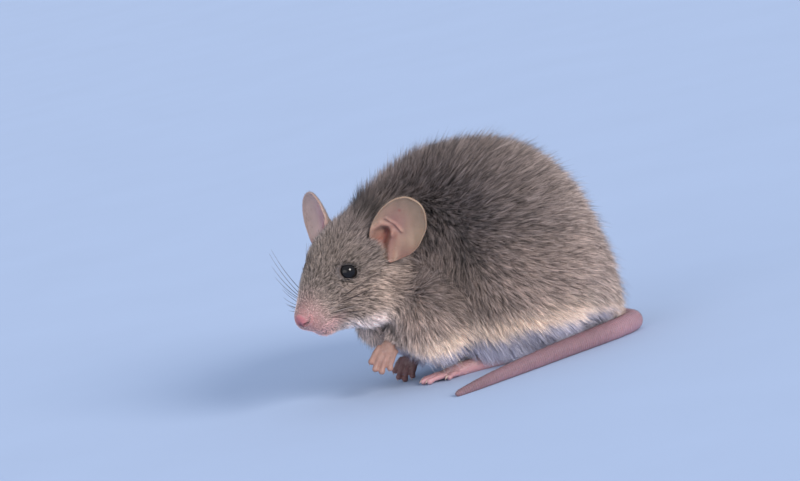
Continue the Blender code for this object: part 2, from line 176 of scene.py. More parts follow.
def ease(start, end, value):
    """0 up to start, 1 from end on, and smooth between. The start may lie above the end."""
    share = np.clip((value - start) / (end - start), 0.0, 1.0)
    return share * share * (3 - 2 * share)


def bell(distance, size):
    """1 at no distance and falling to 0 beyond this size."""
    return np.exp(-((distance / size) ** 2))


def head_place(back, left, up):
    """A place given in the head's terms."""
    return NOSE_TIP + HEAD_AXES @ np.array((back, left, up), float)


def head_direction(back, left, up):
    """A direction given in the head's terms."""
    return unit(HEAD_AXES @ np.array((back, left, up), float))


def on_side(terms, hand):
    """The head's terms of a place or direction, on the left as given or mirrored to the right."""
    back, left, up = terms
    return back, hand * left, up


def head_terms(points):
    """How far back, left and up each point lies on the head."""
    return (points - NOSE_TIP) @ HEAD_AXES


def eye_place(hand):
    """The middle of an eye's solid."""
    return head_place(*on_side(EYE, hand))


def frame_shift():
    """From the frame's middle to the animal's own terms, in millimetres."""
    low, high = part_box("eye_left")
    return eye_place(1) - (np.array(low) + np.array(high)) / 2 / MM


SHIFT = frame_shift()


def across(vectors, normals):
    """The part of each vector that lies in the surface."""
    return vectors - normals * dot(vectors, normals)[..., None]


def to_segment(points, start, end):
    """Distance of each point from a line between two places, and its share of the way along it."""
    start, run = np.array(start, float), np.array(end, float) - np.array(start, float)
    share = np.clip(((points - start) @ run) / (run @ run), 0.0, 1.0)
    return np.linalg.norm(points - start - share[..., None] * run, axis=-1), share


def along_path(places, ways, path):
    """Places on a path, or other rows of numbers along it, at distances between those given for its rows."""
    return np.stack([np.interp(places, ways, column) for column in path.T], -1)


def to_line(points, line):
    """Distance of each point from a line through several places."""
    return np.min([to_segment(points, a, b)[0] for a, b in zip(line, line[1:])], axis=0)


def spline(rows, steps):
    """A Catmull-Rom curve through rows of numbers, with this many steps from row to row."""
    rows = np.array(rows, float)
    padded = np.vstack([2 * rows[0] - rows[1], rows, 2 * rows[-1] - rows[-2]])
    curve = []
    for before, start, end, after in zip(padded, padded[1:], padded[2:], padded[3:]):
        for t in np.arange(steps) / steps:
            slope, bend = end - before, 2 * before - 5 * start + 4 * end - after
            twist = 3 * start - before - 3 * end + after
            curve.append(start + 0.5 * (slope * t + bend * t**2 + twist * t**3))
    return np.array([*curve, rows[-1]])


# ---------------------------------------------------------------- meshes as arrays


def raw_mesh(points, groups):
    """A mesh from points as they are, and from arrays of faces, each with its own number of corners."""
    mesh = bpy.data.meshes.new("form")
    loops = np.concatenate([group.ravel() for group in groups]).astype(np.int32)
    sides = np.concatenate([np.full(len(group), group.shape[1]) for group in groups])
    starts = np.concatenate([[0], np.cumsum(sides)[:-1]]).astype(np.int32)
    mesh.vertices.add(len(points))
    mesh.vertices.foreach_set("co", np.ascontiguousarray(points, np.float32).ravel())
    mesh.loops.add(len(loops))
    mesh.loops.foreach_set("vertex_index", loops)
    mesh.polygons.add(len(sides))
    mesh.polygons.foreach_set("loop_start", starts)
    mesh.update(calc_edges=True)
    return mesh


def arrays_of(mesh):
    """The points of a mesh and its triangles."""
    points = np.empty(len(mesh.vertices) * 3, np.float32)
    mesh.vertices.foreach_get("co", points)
    mesh.calc_loop_triangles()
    faces = np.empty(len(mesh.loop_triangles) * 3, np.int32)
    mesh.loop_triangles.foreach_get("vertices", faces)
    return points.reshape(-1, 3).astype(float), faces.reshape(-1, 3).astype(np.int64)


def joined(forms):
    """One (points, faces) from several of them."""
    points, faces, count = [], [], 0
    for some_points, some_faces in forms:
        points.append(some_points)
        faces.append(some_faces + count)
        count += len(some_points)
    return np.concatenate(points), np.concatenate(faces)


def face_normals(points, faces):
    """A normal for each face, twice as long as its area."""
    a, b, c = points[faces[:, 0]], points[faces[:, 1]], points[faces[:, 2]]
    return np.cross(b - a, c - a)


def gathered(faces, values, count):
    """The sum at each point of a value that each of its faces has."""
    total = np.zeros((count, values.shape[1]))
    for corner in range(faces.shape[1]):
        for axis in range(values.shape[1]):
            total[:, axis] += np.bincount(faces[:, corner], values[:, axis], count)
    return total


def point_normals(points, faces, rounds=0):
    """Outward normals of the points, evened out over this many rounds."""
    normals = unit(gathered(faces, face_normals(points, faces), len(points)))
    for _ in range(rounds):
        normals = unit(gathered(faces, normals[faces].mean(axis=1), len(points)))
    return normals


def fused(forms, voxel, rounds):
    """One closed surface round several overlapping forms, from a grid of this size, smoothed."""
    points, faces = joined(forms)
    helper = bpy.data.objects.new("fused", raw_mesh(points, [faces]))
    bpy.context.scene.collection.objects.link(helper)
    fuse = helper.modifiers.new("fuse", "REMESH")
    fuse.mode, fuse.voxel_size = "VOXEL", voxel
    soften = helper.modifiers.new("soften", "SMOOTH")
    soften.factor, soften.iterations = 0.5, rounds
    bpy.context.view_layer.update()
    graph = bpy.context.evaluated_depsgraph_get()
    result = arrays_of(helper.evaluated_get(graph).to_mesh())
    mesh = helper.data
    bpy.data.objects.remove(helper)
    bpy.data.meshes.remove(mesh)
    return result


def refined(points, faces, chosen, rounds):
    """The surface with the faces round some places cut smaller. The chosen function takes face middles."""
    mesh = raw_mesh(points, [faces])
    form = bmesh.new()
    form.from_mesh(mesh)
    bpy.data.meshes.remove(mesh)
    for _ in range(rounds):
        middles = np.array([face.calc_center_median() for face in form.faces])
        picked = chosen(middles)
        edges = {edge for face, take in zip(form.faces, picked) if take for edge in face.edges}
        bmesh.ops.subdivide_edges(form, edges=list(edges), cuts=1, use_grid_fill=True)
        bmesh.ops.triangulate(form, faces=[face for face in form.faces if len(face.verts) > 3])
        inside = chosen(np.array([vertex.co for vertex in form.verts]))
        near = [vertex for vertex, take in zip(form.verts, inside) if take]
        for _ in range(2):
            axes = {"use_axis_x": True, "use_axis_y": True, "use_axis_z": True}
            bmesh.ops.smooth_vert(form, verts=near, factor=0.5, **axes)
    mesh = bpy.data.meshes.new("form")
    form.to_mesh(mesh)
    form.free()
    result = arrays_of(mesh)
    bpy.data.meshes.remove(mesh)
    return result


def node_form(name):
    """A node of the frame in the animal's own terms, with its doubled points made one."""
    points, faces = arrays_of(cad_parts[name].data)
    points = points / MM + SHIFT
    _, first, index = np.unique(np.round(points, 3), axis=0, return_index=True, return_inverse=True)
    faces = index.reshape(-1)[faces]
    whole = (faces[:, 0] != faces[:, 1]) & (faces[:, 1] != faces[:, 2]) & (faces[:, 0] != faces[:, 2])
    return points[first], faces[whole]


def band_faces(bands, count, corners):
    """Triangles between each ring of points and the next, over this many bands of a stack of rings."""
    ring, corner = np.meshgrid(np.arange(bands), np.arange(corners), indexing="ij")
    after, above = (corner + 1) % corners, (ring + 1) % count
    a, b = ring * corners + corner, ring * corners + after
    c, d = above * corners + after, above * corners + corner
    return np.concatenate([np.stack([a, b, c], -1).reshape(-1, 3), np.stack([a, c, d], -1).reshape(-1, 3)])


def lofted(rings):
    """A closed form through rings of points."""
    rings = np.array(rings)
    count, corners = rings.shape[:2]
    points = np.concatenate([rings.reshape(-1, 3), rings[0].mean(axis=0)[None], rings[-1].mean(axis=0)[None]])
    turn = np.arange(corners)
    last = (count - 1) * corners
    front = np.stack([np.full(corners, count * corners), (turn + 1) % corners, turn], -1)
    back = np.stack([np.full(corners, count * corners + 1), last + turn, last + (turn + 1) % corners], -1)
    faces = np.concatenate([band_faces(count - 1, count, corners), front, back])
    volume = dot(points[faces[:, 0]], face_normals(points, faces)).sum()
    return points, faces if volume > 0 else faces[:, ::-1]


def ring_round(centre, side, up, width, height, corners):
    """A ring of points round a centre, with its half width and half height."""
    turn = np.arange(corners) * math.tau / corners
    return centre + np.cos(turn)[:, None] * side * width + (np.sin(turn) * height)[:, None] * up


def tube(path, widths, corners, up=(0, 0, 1), heights=None):
    """A closed tube along a path of points, with a radius at each."""
    path, up = np.array(path, float), np.array(up, float)
    heights = widths if heights is None else heights
    along = unit(np.gradient(path, axis=0))
    side = unit(np.cross(along, up))
    lift = np.cross(side, along)
    return lofted([ring_round(*ring, corners) for ring in zip(path, side, lift, widths, heights)])


def ball(centre, radius, rings, corners):
    """A closed ball round a centre."""
    rows = []
    for turn in math.pi * np.arange(1, rings) / rings:
        middle, size = np.array((0, 0, math.cos(turn) * radius)), radius * math.sin(turn)
        rows.append(ring_round(middle, np.array((1.0, 0, 0)), np.array((0, 1.0, 0)), size, size, corners))
    points, faces = lofted(rows)
    points[-2:] = ((0, 0, radius), (0, 0, -radius))
    return points + centre, faces


def above(floor, points):
    """The points, with none lower than this."""
    points[..., 2] = np.maximum(points[..., 2], floor)
    return points


def piece(name, points, faces, material, replaces=(), numbers=None, marking=None, uv=None):
    """A piece of the model from points in the animal's millimetres. It rides with the frame."""
    mesh = raw_mesh((points - SHIFT) * MM, [faces])
    mesh.name = name
    mesh.shade_smooth()
    for layer, values in (numbers or {}).items():
        made = mesh.attributes.new(layer, "FLOAT", "POINT")
        made.data.foreach_set("value", values.astype(np.float32))
    if marking is not None:
        made = mesh.attributes.new("marking", "FLOAT_COLOR", "POINT")
        padded = np.concatenate([marking, np.ones((len(marking), 1))], axis=1)
        made.data.foreach_set("color", padded.astype(np.float32).ravel())
    if uv is not None:
        layer = mesh.uv_layers.new(name=UV_NAME)
        layer.uv.foreach_set("vector", uv[faces.ravel()].astype(np.float32).ravel())
    made = bpy.data.objects.new(name, mesh)
    bpy.context.scene.collection.objects.link(made)
    mesh.materials.append(material)
    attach(made, "root")
    if replaces:
        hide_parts(*replaces)
    return made


# ---------------------------------------------------------------- the shape under and over the coat


def eye_axes(hand):
    """Directions out of the eye, along its opening and across it."""
    out = head_direction(*on_side(EYE_AXIS, hand))
    long = head_direction(*on_side(EYE_LONG_AXIS, hand))
    long = unit(long - out * (long @ out))
    return out, long, np.cross(out, long)


def ball_place(hand):
    """The middle of the eyeball."""
    return eye_place(hand) + eye_axes(hand)[0] * EYE_BULGES[hand]


def lid_edge(turn, hand):
    """Half the opening between the lids, in degrees, at a turn round the eye."""
    wide, high = EYE_OPENINGS[hand]
    return 1 / np.sqrt((np.cos(turn) / wide) ** 2 + (np.sin(turn) / high) ** 2)


def past_edge(points, hand):
    """How far past the edge of an eye's opening each point lies, in degrees round the eyeball's middle."""
    out, long, high = eye_axes(hand)
    offset = points - ball_place(hand)
    reach = np.linalg.norm(offset, axis=-1)
    angle = np.degrees(np.arccos(np.clip((offset @ out) / np.maximum(reach, 1e-6), -1, 1)))
    return angle - lid_edge(np.arctan2(offset @ high, offset @ long), hand)


def past_lids(points, hand):
    """How far each point lies outside the opening of an eye, across its axis, and the bare skin's edge."""
    out, long, high = eye_axes(hand)
    offset = points - eye_place(hand)
    along, over = offset @ long, offset @ high
    wide, tall = EYE_RADIUS * np.sin(np.radians(EYE_OPENINGS[hand]))
    share = np.maximum(np.hypot(along / wide, over / tall), 1e-6)
    past = np.hypot(along, over) * (1 - 1 / share)
    by_eye = (np.linalg.norm(offset, axis=1) < LID_REACH) & (offset @ out > -0.8)
    turn = np.arctan2(over, along)
    corner = bell(np.cos(turn - BARE_CORNER) - 1, 0.45)
    bare = LEAST_BARE + 0.66 * corner + 0.22 * ease(-0.2, -0.9, np.sin(turn))
    return np.where(by_eye, past, FAR_OFF), bare


def off_lids(points):
    """How far outside the bare skin round the nearer eye each point lies, in millimetres."""
    found = [past - bare for past, bare in (past_lids(points, hand) for hand in HANDS)]
    return np.minimum(*found)


def head_share(points, spread=3.0):
    """1 on the head, 0 on the body, and smooth over the neck. The spread is how far it reaches behind it."""
    by_head = HEAD_BACK - head_terms(points)[:, 0]
    by_neck = (points - NECK_POINT) @ NECK_NORMAL
    return ease(-spread, 3.0, np.minimum(by_head, by_neck))


def on_leg(points):
    """1 on the free part of a fore leg and 0 on the body, and the share of the way down to the wrist."""
    found, way = np.zeros(len(points)), np.zeros(len(points))
    for elbow, wrist, _ in (LIFTED_FORE, RESTING_FORE):
        far, share = to_segment(points, elbow, wrist)
        here = ease(0.3, 0.6, share) * ease(3.4, 2.5, far)
        way = np.where(here > found, share, way)
        found = np.maximum(found, here)
    return found, way


def coat_depth(points):
    """How deep the coat is, in millimetres, at places on the surface of its tips."""
    back, _, up = head_terms(points).T
    on_head = np.interp(back, (0, 1.5, 3, 6, 10, 15, 20, 26), (0, 0.12, 0.30, 0.6, 0.95, 1.5, 2.3, 3.2))
    on_head = on_head + 0.5 * ease(-2, -6, up) * ease(6, 12, back)
    on_body = np.interp(points[:, 2], (2, 7, 14, 28), (2.2, 3.0, 3.7, 4.0))
    on_body = on_body - 0.9 * ease(-12, -18, points[:, 0])
    share = head_share(points)
    depth = on_head * share + on_body * (1 - share)
    leg, way = on_leg(points)
    depth = depth * (1 - leg) + np.interp(way, (0.3, 1.0), (1.1, 0.6)) * leg
    near = 1 - ease(-0.8, 1.0, off_lids(points))
    return depth * (1 - near) + 0.1 * near


def coat_surface():
    """The surface of the tips of the coat: points, triangles and normals."""
    forms = []
    for name in (*FURRED, "eye_left", "eye_right"):
        points, faces = node_form(name)
        forms.append((points + 0.2 * point_normals(points, faces), faces))
    points, faces = fused(forms, BODY_GRID, 14)
    return points, faces, point_normals(points, faces, 4)


def near_features(points):
    """Where the skin needs small faces: round the eyes, the nose and the mouth."""
    muzzle = (head_terms(points)[:, 0] < 5.0) & (points[:, 0] < -20)
    eyes = np.min([np.linalg.norm(points - eye_place(hand), axis=1) for hand in HANDS], axis=0) < 3.4
    return muzzle | eyes


MOUTH_LINE = ((1.5, 0.0, -1.9), (2.2, 0.9, -2.5), (3.4, 1.7, -3.2), (5.2, 2.3, -3.9))
NOSTRIL = ((1.0, 0.85, -1.15), (1.35, 1.2, -1.05), (1.7, 1.45, -0.75), (1.95, 1.5, -0.35))
PAD_MIDDLE = np.array((0.5, 0.0, -0.5))


def pad_share(points):
    """1 on the bare pad of the nose and 0 outside it."""
    return ease(1.6, 0.9, np.linalg.norm((head_terms(points) - PAD_MIDDLE) * (0.8, 0.92, 1), axis=1))


def nose_folds(points, pit_size, mouth_size):
    """Distance from the nearer nostril, and 1 in the nostrils and along the mouth, for these widths."""
    terms = head_terms(points)
    folded = np.abs(terms * (0, 1, 0)) + terms * (1, 0, 1)
    pit = to_line(folded, NOSTRIL)
    return pit, bell(pit, pit_size), bell(to_line(folded, MOUTH_LINE), mouth_size)


def nose_relief(points):
    """How far the skin of the nose and mouth stands out, in millimetres."""
    back, left, up = head_terms(points).T
    pit, nostril, mouth = nose_folds(points, 0.22, 0.20)
    relief = (-0.55 * nostril + 0.18 * bell(pit - 0.46, 0.18)) * ease(3.2, 2.2, back)
    cleft = bell(left, 0.13) * ease(-0.5, -0.9, up) * ease(3.0, 2.0, back)
    return relief - 0.16 * cleft - 0.32 * mouth + 0.10 * pad_share(points)


def body_skin(points, faces):
    """The skin of head and body, a coat's depth inside the tips, with its nose and sockets worked in."""
    points, faces = refined(points, faces, near_features, 2)
    normals = point_normals(points, faces, 5)
    skin = points - normals * coat_depth(points)[:, None]
    fine = point_normals(skin, faces, 2)
    skin = skin + fine * (nose_relief(skin) * ease(6.5, 4.5, head_terms(skin)[:, 0]))[:, None]
    inside = EYE_RADIUS - SOCKET_GAP
    for hand in HANDS:
        reach = np.linalg.norm(skin - eye_place(hand), axis=1)
        past, bare = past_lids(skin, hand)
        wanted = inside + (reach - inside) * ease(0.0, 0.4, past - 0.45 * (bare - LEAST_BARE))
        scale = wanted / np.maximum(reach, 1e-6)
        skin = eye_place(hand) + (skin - eye_place(hand)) * scale[:, None]
    return skin, faces, normals


LID_PROFILE = (  # angle past the edge of the opening, distance outside the eyeball
    *((1.5, -0.20), (0.2, 0.01), (-1.0, 0.07), (-0.5, 0.14), (2.0, 0.20)),
    *((5.0, 0.22), (9.0, 0.17), (14.0, 0.04), (20.0, -0.16), (30.0, -0.45)),
)


def lid_form(hand):
    """The bare ring of the lids, closed, from inside the socket out to under the coat."""
    out, long, high = eye_axes(hand)
    turns = np.arange(72) * math.tau / 72
    corner = bell(np.cos(turns) + 1, 0.3)
    round_way = np.cos(turns)[:, None] * long + np.sin(turns)[:, None] * high
    rings = []
    for step, proud in LID_PROFILE:
        angle = np.radians(lid_edge(turns, hand) + step * (1 + 0.7 * corner))
        reach = EYEBALL_RADIUS + proud + 0.012 * np.sin(7 * turns + step) * ease(1, 6, step)
        way = np.cos(angle)[:, None] * out + np.sin(angle)[:, None] * round_way
        rings.append(ball_place(hand) + way * reach[:, None])
    count, corners = np.shape(rings)[:2]
    points, faces = np.reshape(rings, (-1, 3)), band_faces(count, count, corners)
    outward = dot(face_normals(points, faces)[corners * 4 : corners * 5], out).sum()
    return points, faces if outward > 0 else faces[:, ::-1]


EAR_TRAGUS = ((-1.7, 5.1), (-2.0, 3.5), (-1.75, 2.0), (-1.35, 0.5))
EAR_FOLD = ((-3.0, 8.3), (-1.45, 7.4), (-0.2, 6.1))
EAR_LOBE = ((-5.2, 4.3), (-5.0, 6.1), (-3.8, 7.1), (-2.5, 6.9), (-1.85, 5.9))
EAR_SLIT = ((-2.85, 5.7), (-3.0, 4.6), (-3.15, 3.6))


def ear_axes(hand):
    """The foot of an ear and its directions across, up and out of its opening."""
    foot = head_place(*on_side(EAR_FEET[hand], hand))
    rise = head_direction(*on_side(EAR_UPS[hand], hand))
    face = head_direction(*on_side(EAR_FACES[hand], hand))
    face = unit(face - rise * (face @ rise))
    return foot, np.cross(rise, face) * hand, rise, face


def ear_terms(points, hand):
    """How far across and up the ear each place lies, in millimetres."""
    foot, side, up, _ = ear_axes(hand)
    return (points - foot) @ side, (points - foot) @ up / EAR_TALLS[hand]


def in_opening(flat, size=1.0):
    """1 in the slit that leads into the ear, and 0 well outside it."""
    return bell(to_line(flat, EAR_SLIT), 0.62 * size)


def on_tragus(flat):
    """1 on the lobe that stands in front of the slit, and 0 well outside it."""
    size = np.interp(flat[:, 1], (0.5, 2.0, 3.5, 5.2), (0.7, 0.9, 1.25, 0.75))
    return bell(to_line(flat, EAR_TRAGUS), size)


def ear_form(hand):
    """A thin ear with its rolled front rim, folds and opening. Also gives a share for its inside."""
    foot, side, up, face = ear_axes(hand)
    corners = 128
    turns = np.arange(corners) * math.tau / corners
    edge = np.interp(np.degrees(turns), *EAR_OUTLINE, period=360)
    for _ in range(6):
        edge = (np.roll(edge, 1) + 2 * edge + np.roll(edge, -1)) / 4

    def relief(wide, high, radius):
        """How far the folds inside the ear stand out of its cup."""
        flat = np.stack([wide, high], -1)
        fold = 0.32 * bell(to_line(flat, EAR_FOLD), 0.27)
        lobe = 0.75 * bell(to_line(flat, EAR_LOBE), 0.62)
        veins = 0.03 * ripple(np.stack([wide, high * 0.5, wide * 0], -1), 1.6, 12)
        return 1.15 * on_tragus(flat) + fold + lobe + veins + 0.12 * ease(0.9, 0.97, radius)

    def places(radius, behind, shaped=False):
        """The ring at a share of the way to the rim, this far behind the ear's face."""
        wide = radius * edge * np.cos(turns)
        high = EAR_MIDDLE + radius * edge * np.sin(turns)
        flat = np.stack([wide, high], -1)
        deep = 1.5 * (1 - radius**2.2) + 0.8 * (1 - high / EAR_HEIGHT)
        deep = deep + 0.6 * in_opening(flat, 2.2) + 0.5 * in_opening(flat)
        if shaped:
            deep = deep - relief(wide, high, radius)
        deep = deep + EAR_LEANS[hand] * (np.clip(high, 0, None) / EAR_HEIGHT) ** 1.4
        place = foot + wide[:, None] * side + (high * EAR_TALLS[hand])[:, None] * up
        return place - (deep + behind)[:, None] * face

    shares = (*np.linspace(0.03, 0.9, 40), *np.linspace(0.925, 0.99, 4))
    front = [places(share, 0.0, True) for share in shares]
    rim = [places(share, behind) for share, behind in ((1.006, 0.13), (1.008, 0.25), (0.996, 0.36))]
    rear = [places(share, 0.42 + 0.5 * (1 - share)) for share in np.linspace(0.96, 0.05, 18)]
    inside = np.repeat([1.0] * len(front) + [0.6, 0.3, 0.0] + [0.0] * len(rear), corners)
    points, faces = lofted(front + rim + rear)
    return points, faces, np.append(inside, (1.0, 0.0)), *ear_terms(points, hand)


DIGIT_GIRTHS = np.array((1.0, 0.98, 0.96, 0.98, 1.0, 0.9, 0.82, 0.84, 1.0, 1.02, 0.62))
CLAW_GIRTHS = np.array((0.42, 0.40, 0.36, 0.30, 0.22, 0.13, 0.03))
FOOT_SECTIONS = (  # share of the length, half width, height of the middle, half height
    *((0.0, 0.7, 1.3, 0.9), (0.06, 1.15, 1.3, 1.35), (0.35, 1.2, 1.35, 1.45)),
    *((0.65, 1.5, 1.15, 1.25), (0.9, 1.95, 0.95, 1.05), (1.03, 1.2, 0.8, 0.6)),
)
HAND_SECTIONS = ((0.0, 1.1, 0.0, 0.9), (0.5, 1.5, 0.0, 0.85), (0.9, 1.75, 0.0, 0.7), (1.15, 1.2, 0.0, 0.4))
FOOT_PADS = ((0.72, -0.9), (0.78, 0.9), (0.9, -0.1), (0.92, -1.3), (0.92, 1.2))  # share along, place across
HAND_PADS = ((0.9, -0.8), (0.9, 0.0), (0.9, 0.8))


def arched(start, middle, end, count):
    """A path from start to end, drawn towards a middle place."""
    t = np.linspace(0, 1, count)[:, None]
    return start * (1 - t) ** 2 + 2 * middle * t * (1 - t) + end * t**2


def digit(base, tip, arch, girth, claw_girth, claw_length):
    """A finger or toe and its claw."""
    along = unit(tip - base)
    lift = unit(np.array((0, 0, 1.0)) - along * along[2])
    knuckle = base + (tip - base) * 0.5 + lift * arch
    first, second = base + (knuckle - base) * 0.9, tip + (knuckle - tip) * 0.6
    t = np.linspace(0, 1, len(DIGIT_GIRTHS))[:, None]
    path = base * (1 - t) ** 3 + 3 * first * t * (1 - t) ** 2 + 3 * second * t**2 * (1 - t) + tip * t**3
    root = path[8] + lift * claw_girth * 0.35
    bend = root + along * claw_length * 0.95 + lift * claw_length * 0.22
    point = root + along * claw_length * 1.45 - lift * claw_length * 0.5
    sizes = claw_girth * CLAW_GIRTHS
    claw = tube(arched(root, bend, point, len(sizes)), sizes * 0.8, 10, up=lift, heights=sizes)
    return tube(path, DIGIT_GIRTHS * girth, 14, up=lift), claw


def swept(start, end, sections, out, up, corners):
    """A closed form along a foot or hand, through its sections."""
    rings = [
        ring_round(start + (end - start) * share + up * middle, out, up, width, half, corners)
        for share, width, middle, half in spline(sections, 4)
    ]
    return lofted(rings)


def hind_foot(heel, knuckle, shank):
    """A long hind foot and its shank, as forms to be fused, and its claws."""
    heel, knuckle, shank = np.array((heel, knuckle, shank), float)
    forward, up = unit(knuckle - heel), np.array((0, 0, 1.0))
    out = np.array((forward[1], -forward[0], 0.0))
    forms, claws = [swept(heel, knuckle, FOOT_SECTIONS, out, up, 20)], []
    ankle = heel + up * 1.5 + forward * 0.6
    forms.append(tube([ankle, (ankle + shank) / 2, shank], (1.25, 1.7, 2.6), 20, up=out))
    for place, start, reach, splay in TOES:
        turn = math.radians(splay)
        base = knuckle + forward * (start - 0.5) + out * place + up * 0.75
        aim = forward * math.cos(turn) + out * math.sin(turn)
        toe, claw = digit(base, base + aim * reach - up * 0.27, 0.55, 0.56, 0.56, 0.85)
        forms.append(toe)
        claws.append(claw)
    for share, place in FOOT_PADS:
        forms.append(ball(heel + (knuckle - heel) * share + out * place + up * 0.42, 0.42, 8, 12))
    return forms, claws


def fore_paw(elbow, wrist, knuckle, up, reach, spread):
    """A small hand with its forearm, as forms to be fused, and its claws."""
    elbow, wrist, knuckle, up = np.array((elbow, wrist, knuckle, up), float)
    forward = unit(knuckle - wrist)
    up = unit(up - forward * (up @ forward))
    out = np.cross(forward, up)
    forms, claws = [swept(wrist, knuckle, HAND_SECTIONS, out, up, 18)], []
    inner = elbow + (wrist - elbow) * 0.45
    along = [inner, wrist + (inner - wrist) * 0.4, wrist, wrist + (knuckle - wrist) * 0.25]
    forms.append(tube(along, (1.0, 1.0, 1.0, 1.0), 18, up=out))
    for place, start, share, splay in FINGERS:
        turn = math.radians(spread * splay)
        base = knuckle + forward * (start - 0.4) + out * place
        aim = forward * math.cos(turn) + out * math.sin(turn)
        finger, claw = digit(base, base + aim * (reach * share + 0.4) - up * 0.3, 0.3, 0.57, 0.48, 0.6)
        forms.append(finger)
        claws.append(claw)
    thumb = wrist + (knuckle - wrist) * 0.5 - out * 1.1
    forms.append(tube([thumb, thumb - out * 0.6, thumb - out * 0.9], (0.42, 0.4, 0.22), 12, up=up))
    for share, place in HAND_PADS:
        forms.append(ball(wrist + (knuckle - wrist) * share + out * place - up * 0.45, 0.38, 8, 12))
    return forms, claws


def limbs():
    """The four paws as fused surfaces, and all their claws."""
    made = (
        hind_foot(*LEFT_HIND, (7.0, -7.0, 7.5)),
        hind_foot(*RIGHT_HIND, (14.5, 9.6, 7.5)),
        fore_paw(*LIFTED_FORE, (-0.35, -0.9, 0.25), 3.8, 6),
        fore_paw(*RESTING_FORE, (-0.6, -0.7, 0.4), 3.2, 8),
    )
    paws = []
    for forms, _ in made:
        points, faces = fused(forms, PAW_GRID, 3)
        paws.append((above(0.0, points), faces))
    return paws, [claw for _, claws in made for claw in claws]


def tail_form():
    """The tail as one tube, with the way along it in millimetres at each point."""
    route = spline(TAIL_ROUTE, 40)
    steps = np.linalg.norm(np.diff(route[:, :3], axis=0), axis=1)
    way = np.concatenate([[0], np.cumsum(steps)])
    places = np.arange(0, way[-1], 0.24)
    path, radius = np.split(along_path(places, way, route), [3], axis=1)
    radius = radius[:, 0]
    radius = radius * (1 + 0.012 * np.sin(places * 1.7) + 0.01 * np.sin(places * 4.1))
    radius[-3:] *= (0.92, 0.75, 0.45)
    points, faces = tube(path, radius, 36)
    points = above(0.0, points)
    along = np.append(np.repeat(places, 36), (places[0], places[-1]))
    return points, faces, along, way[-1]


# ---------------------------------------------------------------- colours of coat and skin


def linear(colour):
    """A screen colour, 0 to 255, as the shader's linear one."""
    share = np.array(colour, float) / 255
    return np.where(share <= 0.04045, share / 12.92, ((share + 0.055) / 1.055) ** 2.4)


def painted(base, *layers):
    """A colour with others over it, each with its share at each point."""
    base = np.array(base)
    for colour, share in layers:
        base = base + (np.array(colour) - base) * share[:, None]
    return base


def ripple(points, size, seed):
    """A smooth wandering value between about -1 and 1 that depends on place alone."""
    rng = np.random.default_rng(seed)
    total = np.zeros(len(points))
    for _ in range(6):
        way = unit(rng.normal(size=3)) / size * rng.uniform(0.6, 1.6)
        total += np.sin(points @ way * math.tau + rng.uniform(0, math.tau))
    return total / 3.4


ROOTS_AND_PAINTED_SHADE_PLACES = (  # where the coat is darker or lighter, partly from dark roots that show where the hairs part and partly painted shade and painted light: place, size and depth
    # partly dark roots where the coat parts round the whorl, partly painted shade of the crease between neck
    # and shoulder
    (-4.2, -12.8, 22.0, 5.0, 0.42),
    (-9.0, -12.5, 18.0, 2.0, 0.22),
    (-2.1, -14.7, 13.6, 2.2, 0.30),
    # painted light: lifts the shade low on the shoulders
    (-13.0, -11.5, 14.5, 4.0, -0.18),
    # painted shadow behind the ears, between the crown and the ear
    (-17.0, -3.4, 33.4, 3.5, 0.86),
)
WHISKER_BED = np.array((7.2, 3.6, -1.4))  # the darker middle of the coat that the whiskers grow from


def marking(points, normals, settings):
    """The colour of the coat at each place, with painted light and shade in some parts, which the skin below
    it takes as well.
    """
    back, left, up = head_terms(points).T
    x, z = points[:, 0], points[:, 2]
    share = head_share(points)
    # The lowest coat of the sides: its own paler colour, with painted light of its lit edge.
    low = ease(13.0, 8.0, z + 0.8 * ripple(points, 5, 2)) * ease(-18, -12, x) * (1 - 0.5 * ease(14, 22, x))
    # Painted shade on the coat that faces down: the belly's own grey with the blue-grey of its shade painted
    # in.
    under = ease(7.8, 6.2, z + 0.4 * ripple(points, 4, 5)) * ease(0.1, -0.3, normals[:, 2])
    colour = painted(
        settings.back_colour,
        (settings.flank_colour, ease(32, 14, z + 2.0 * ripple(points, 14, 1)) * 0.9),
        # painted light: the rump lighter where the light falls on it
        (settings.lit_rump_colour, ease(6, 24, x) * 0.75),
        (settings.pale_lit_fringe_colour, low * 0.62),
        (settings.shaded_belly_colour, under),
    )
    # Painted light: the coat made lighter towards the front and top of the body, lifting the shade over the
    # shoulders and nape.
    colour = colour * (1 + 0.22 * ease(-2, -12, x) * ease(14, 24, z))[:, None]
    # Dark roots, painted shade and painted light at the places listed above.
    for place_x, place_y, height, size, depth in ROOTS_AND_PAINTED_SHADE_PLACES:
        for hand in HANDS:
            far = np.linalg.norm(points - (place_x, place_y * hand, height), axis=1)
            colour = colour * (1 - depth * bell(far, size))[:, None]
    face = painted(
        settings.face_colour,
        (settings.cheek_colour, ease(4.0, -1.0, up)),
        (settings.back_colour, ease(11, 19, back) * ease(1, 5, up) * 0.85),
        (settings.muzzle_colour, ease(6.0, 2.0, back) * (0.6 + 0.4 * ease(1.5, -1.0, up))),
        (settings.lip_colour, ease(-1.6, -2.8, up) * ease(8, 4, back) * 0.8),
        (settings.jaw_colour, ease(-3.6, -5.6, up) * ease(5, 8, back) * ease(15, 10, back)),
    )
    beside = np.stack([back, np.abs(left), up], -1) - WHISKER_BED
    face = face * (1 - 0.40 * bell(np.linalg.norm(beside, axis=1), 2.4))[:, None]
    return np.clip(colour * (1 - share)[:, None] + face * share[:, None], 0, 1)


# ---------------------------------------------------------------- the coat

WHORL = (-4.0, -12.5, 23.0)  # where the coat of the left shoulder parts. The right side has its mirror.


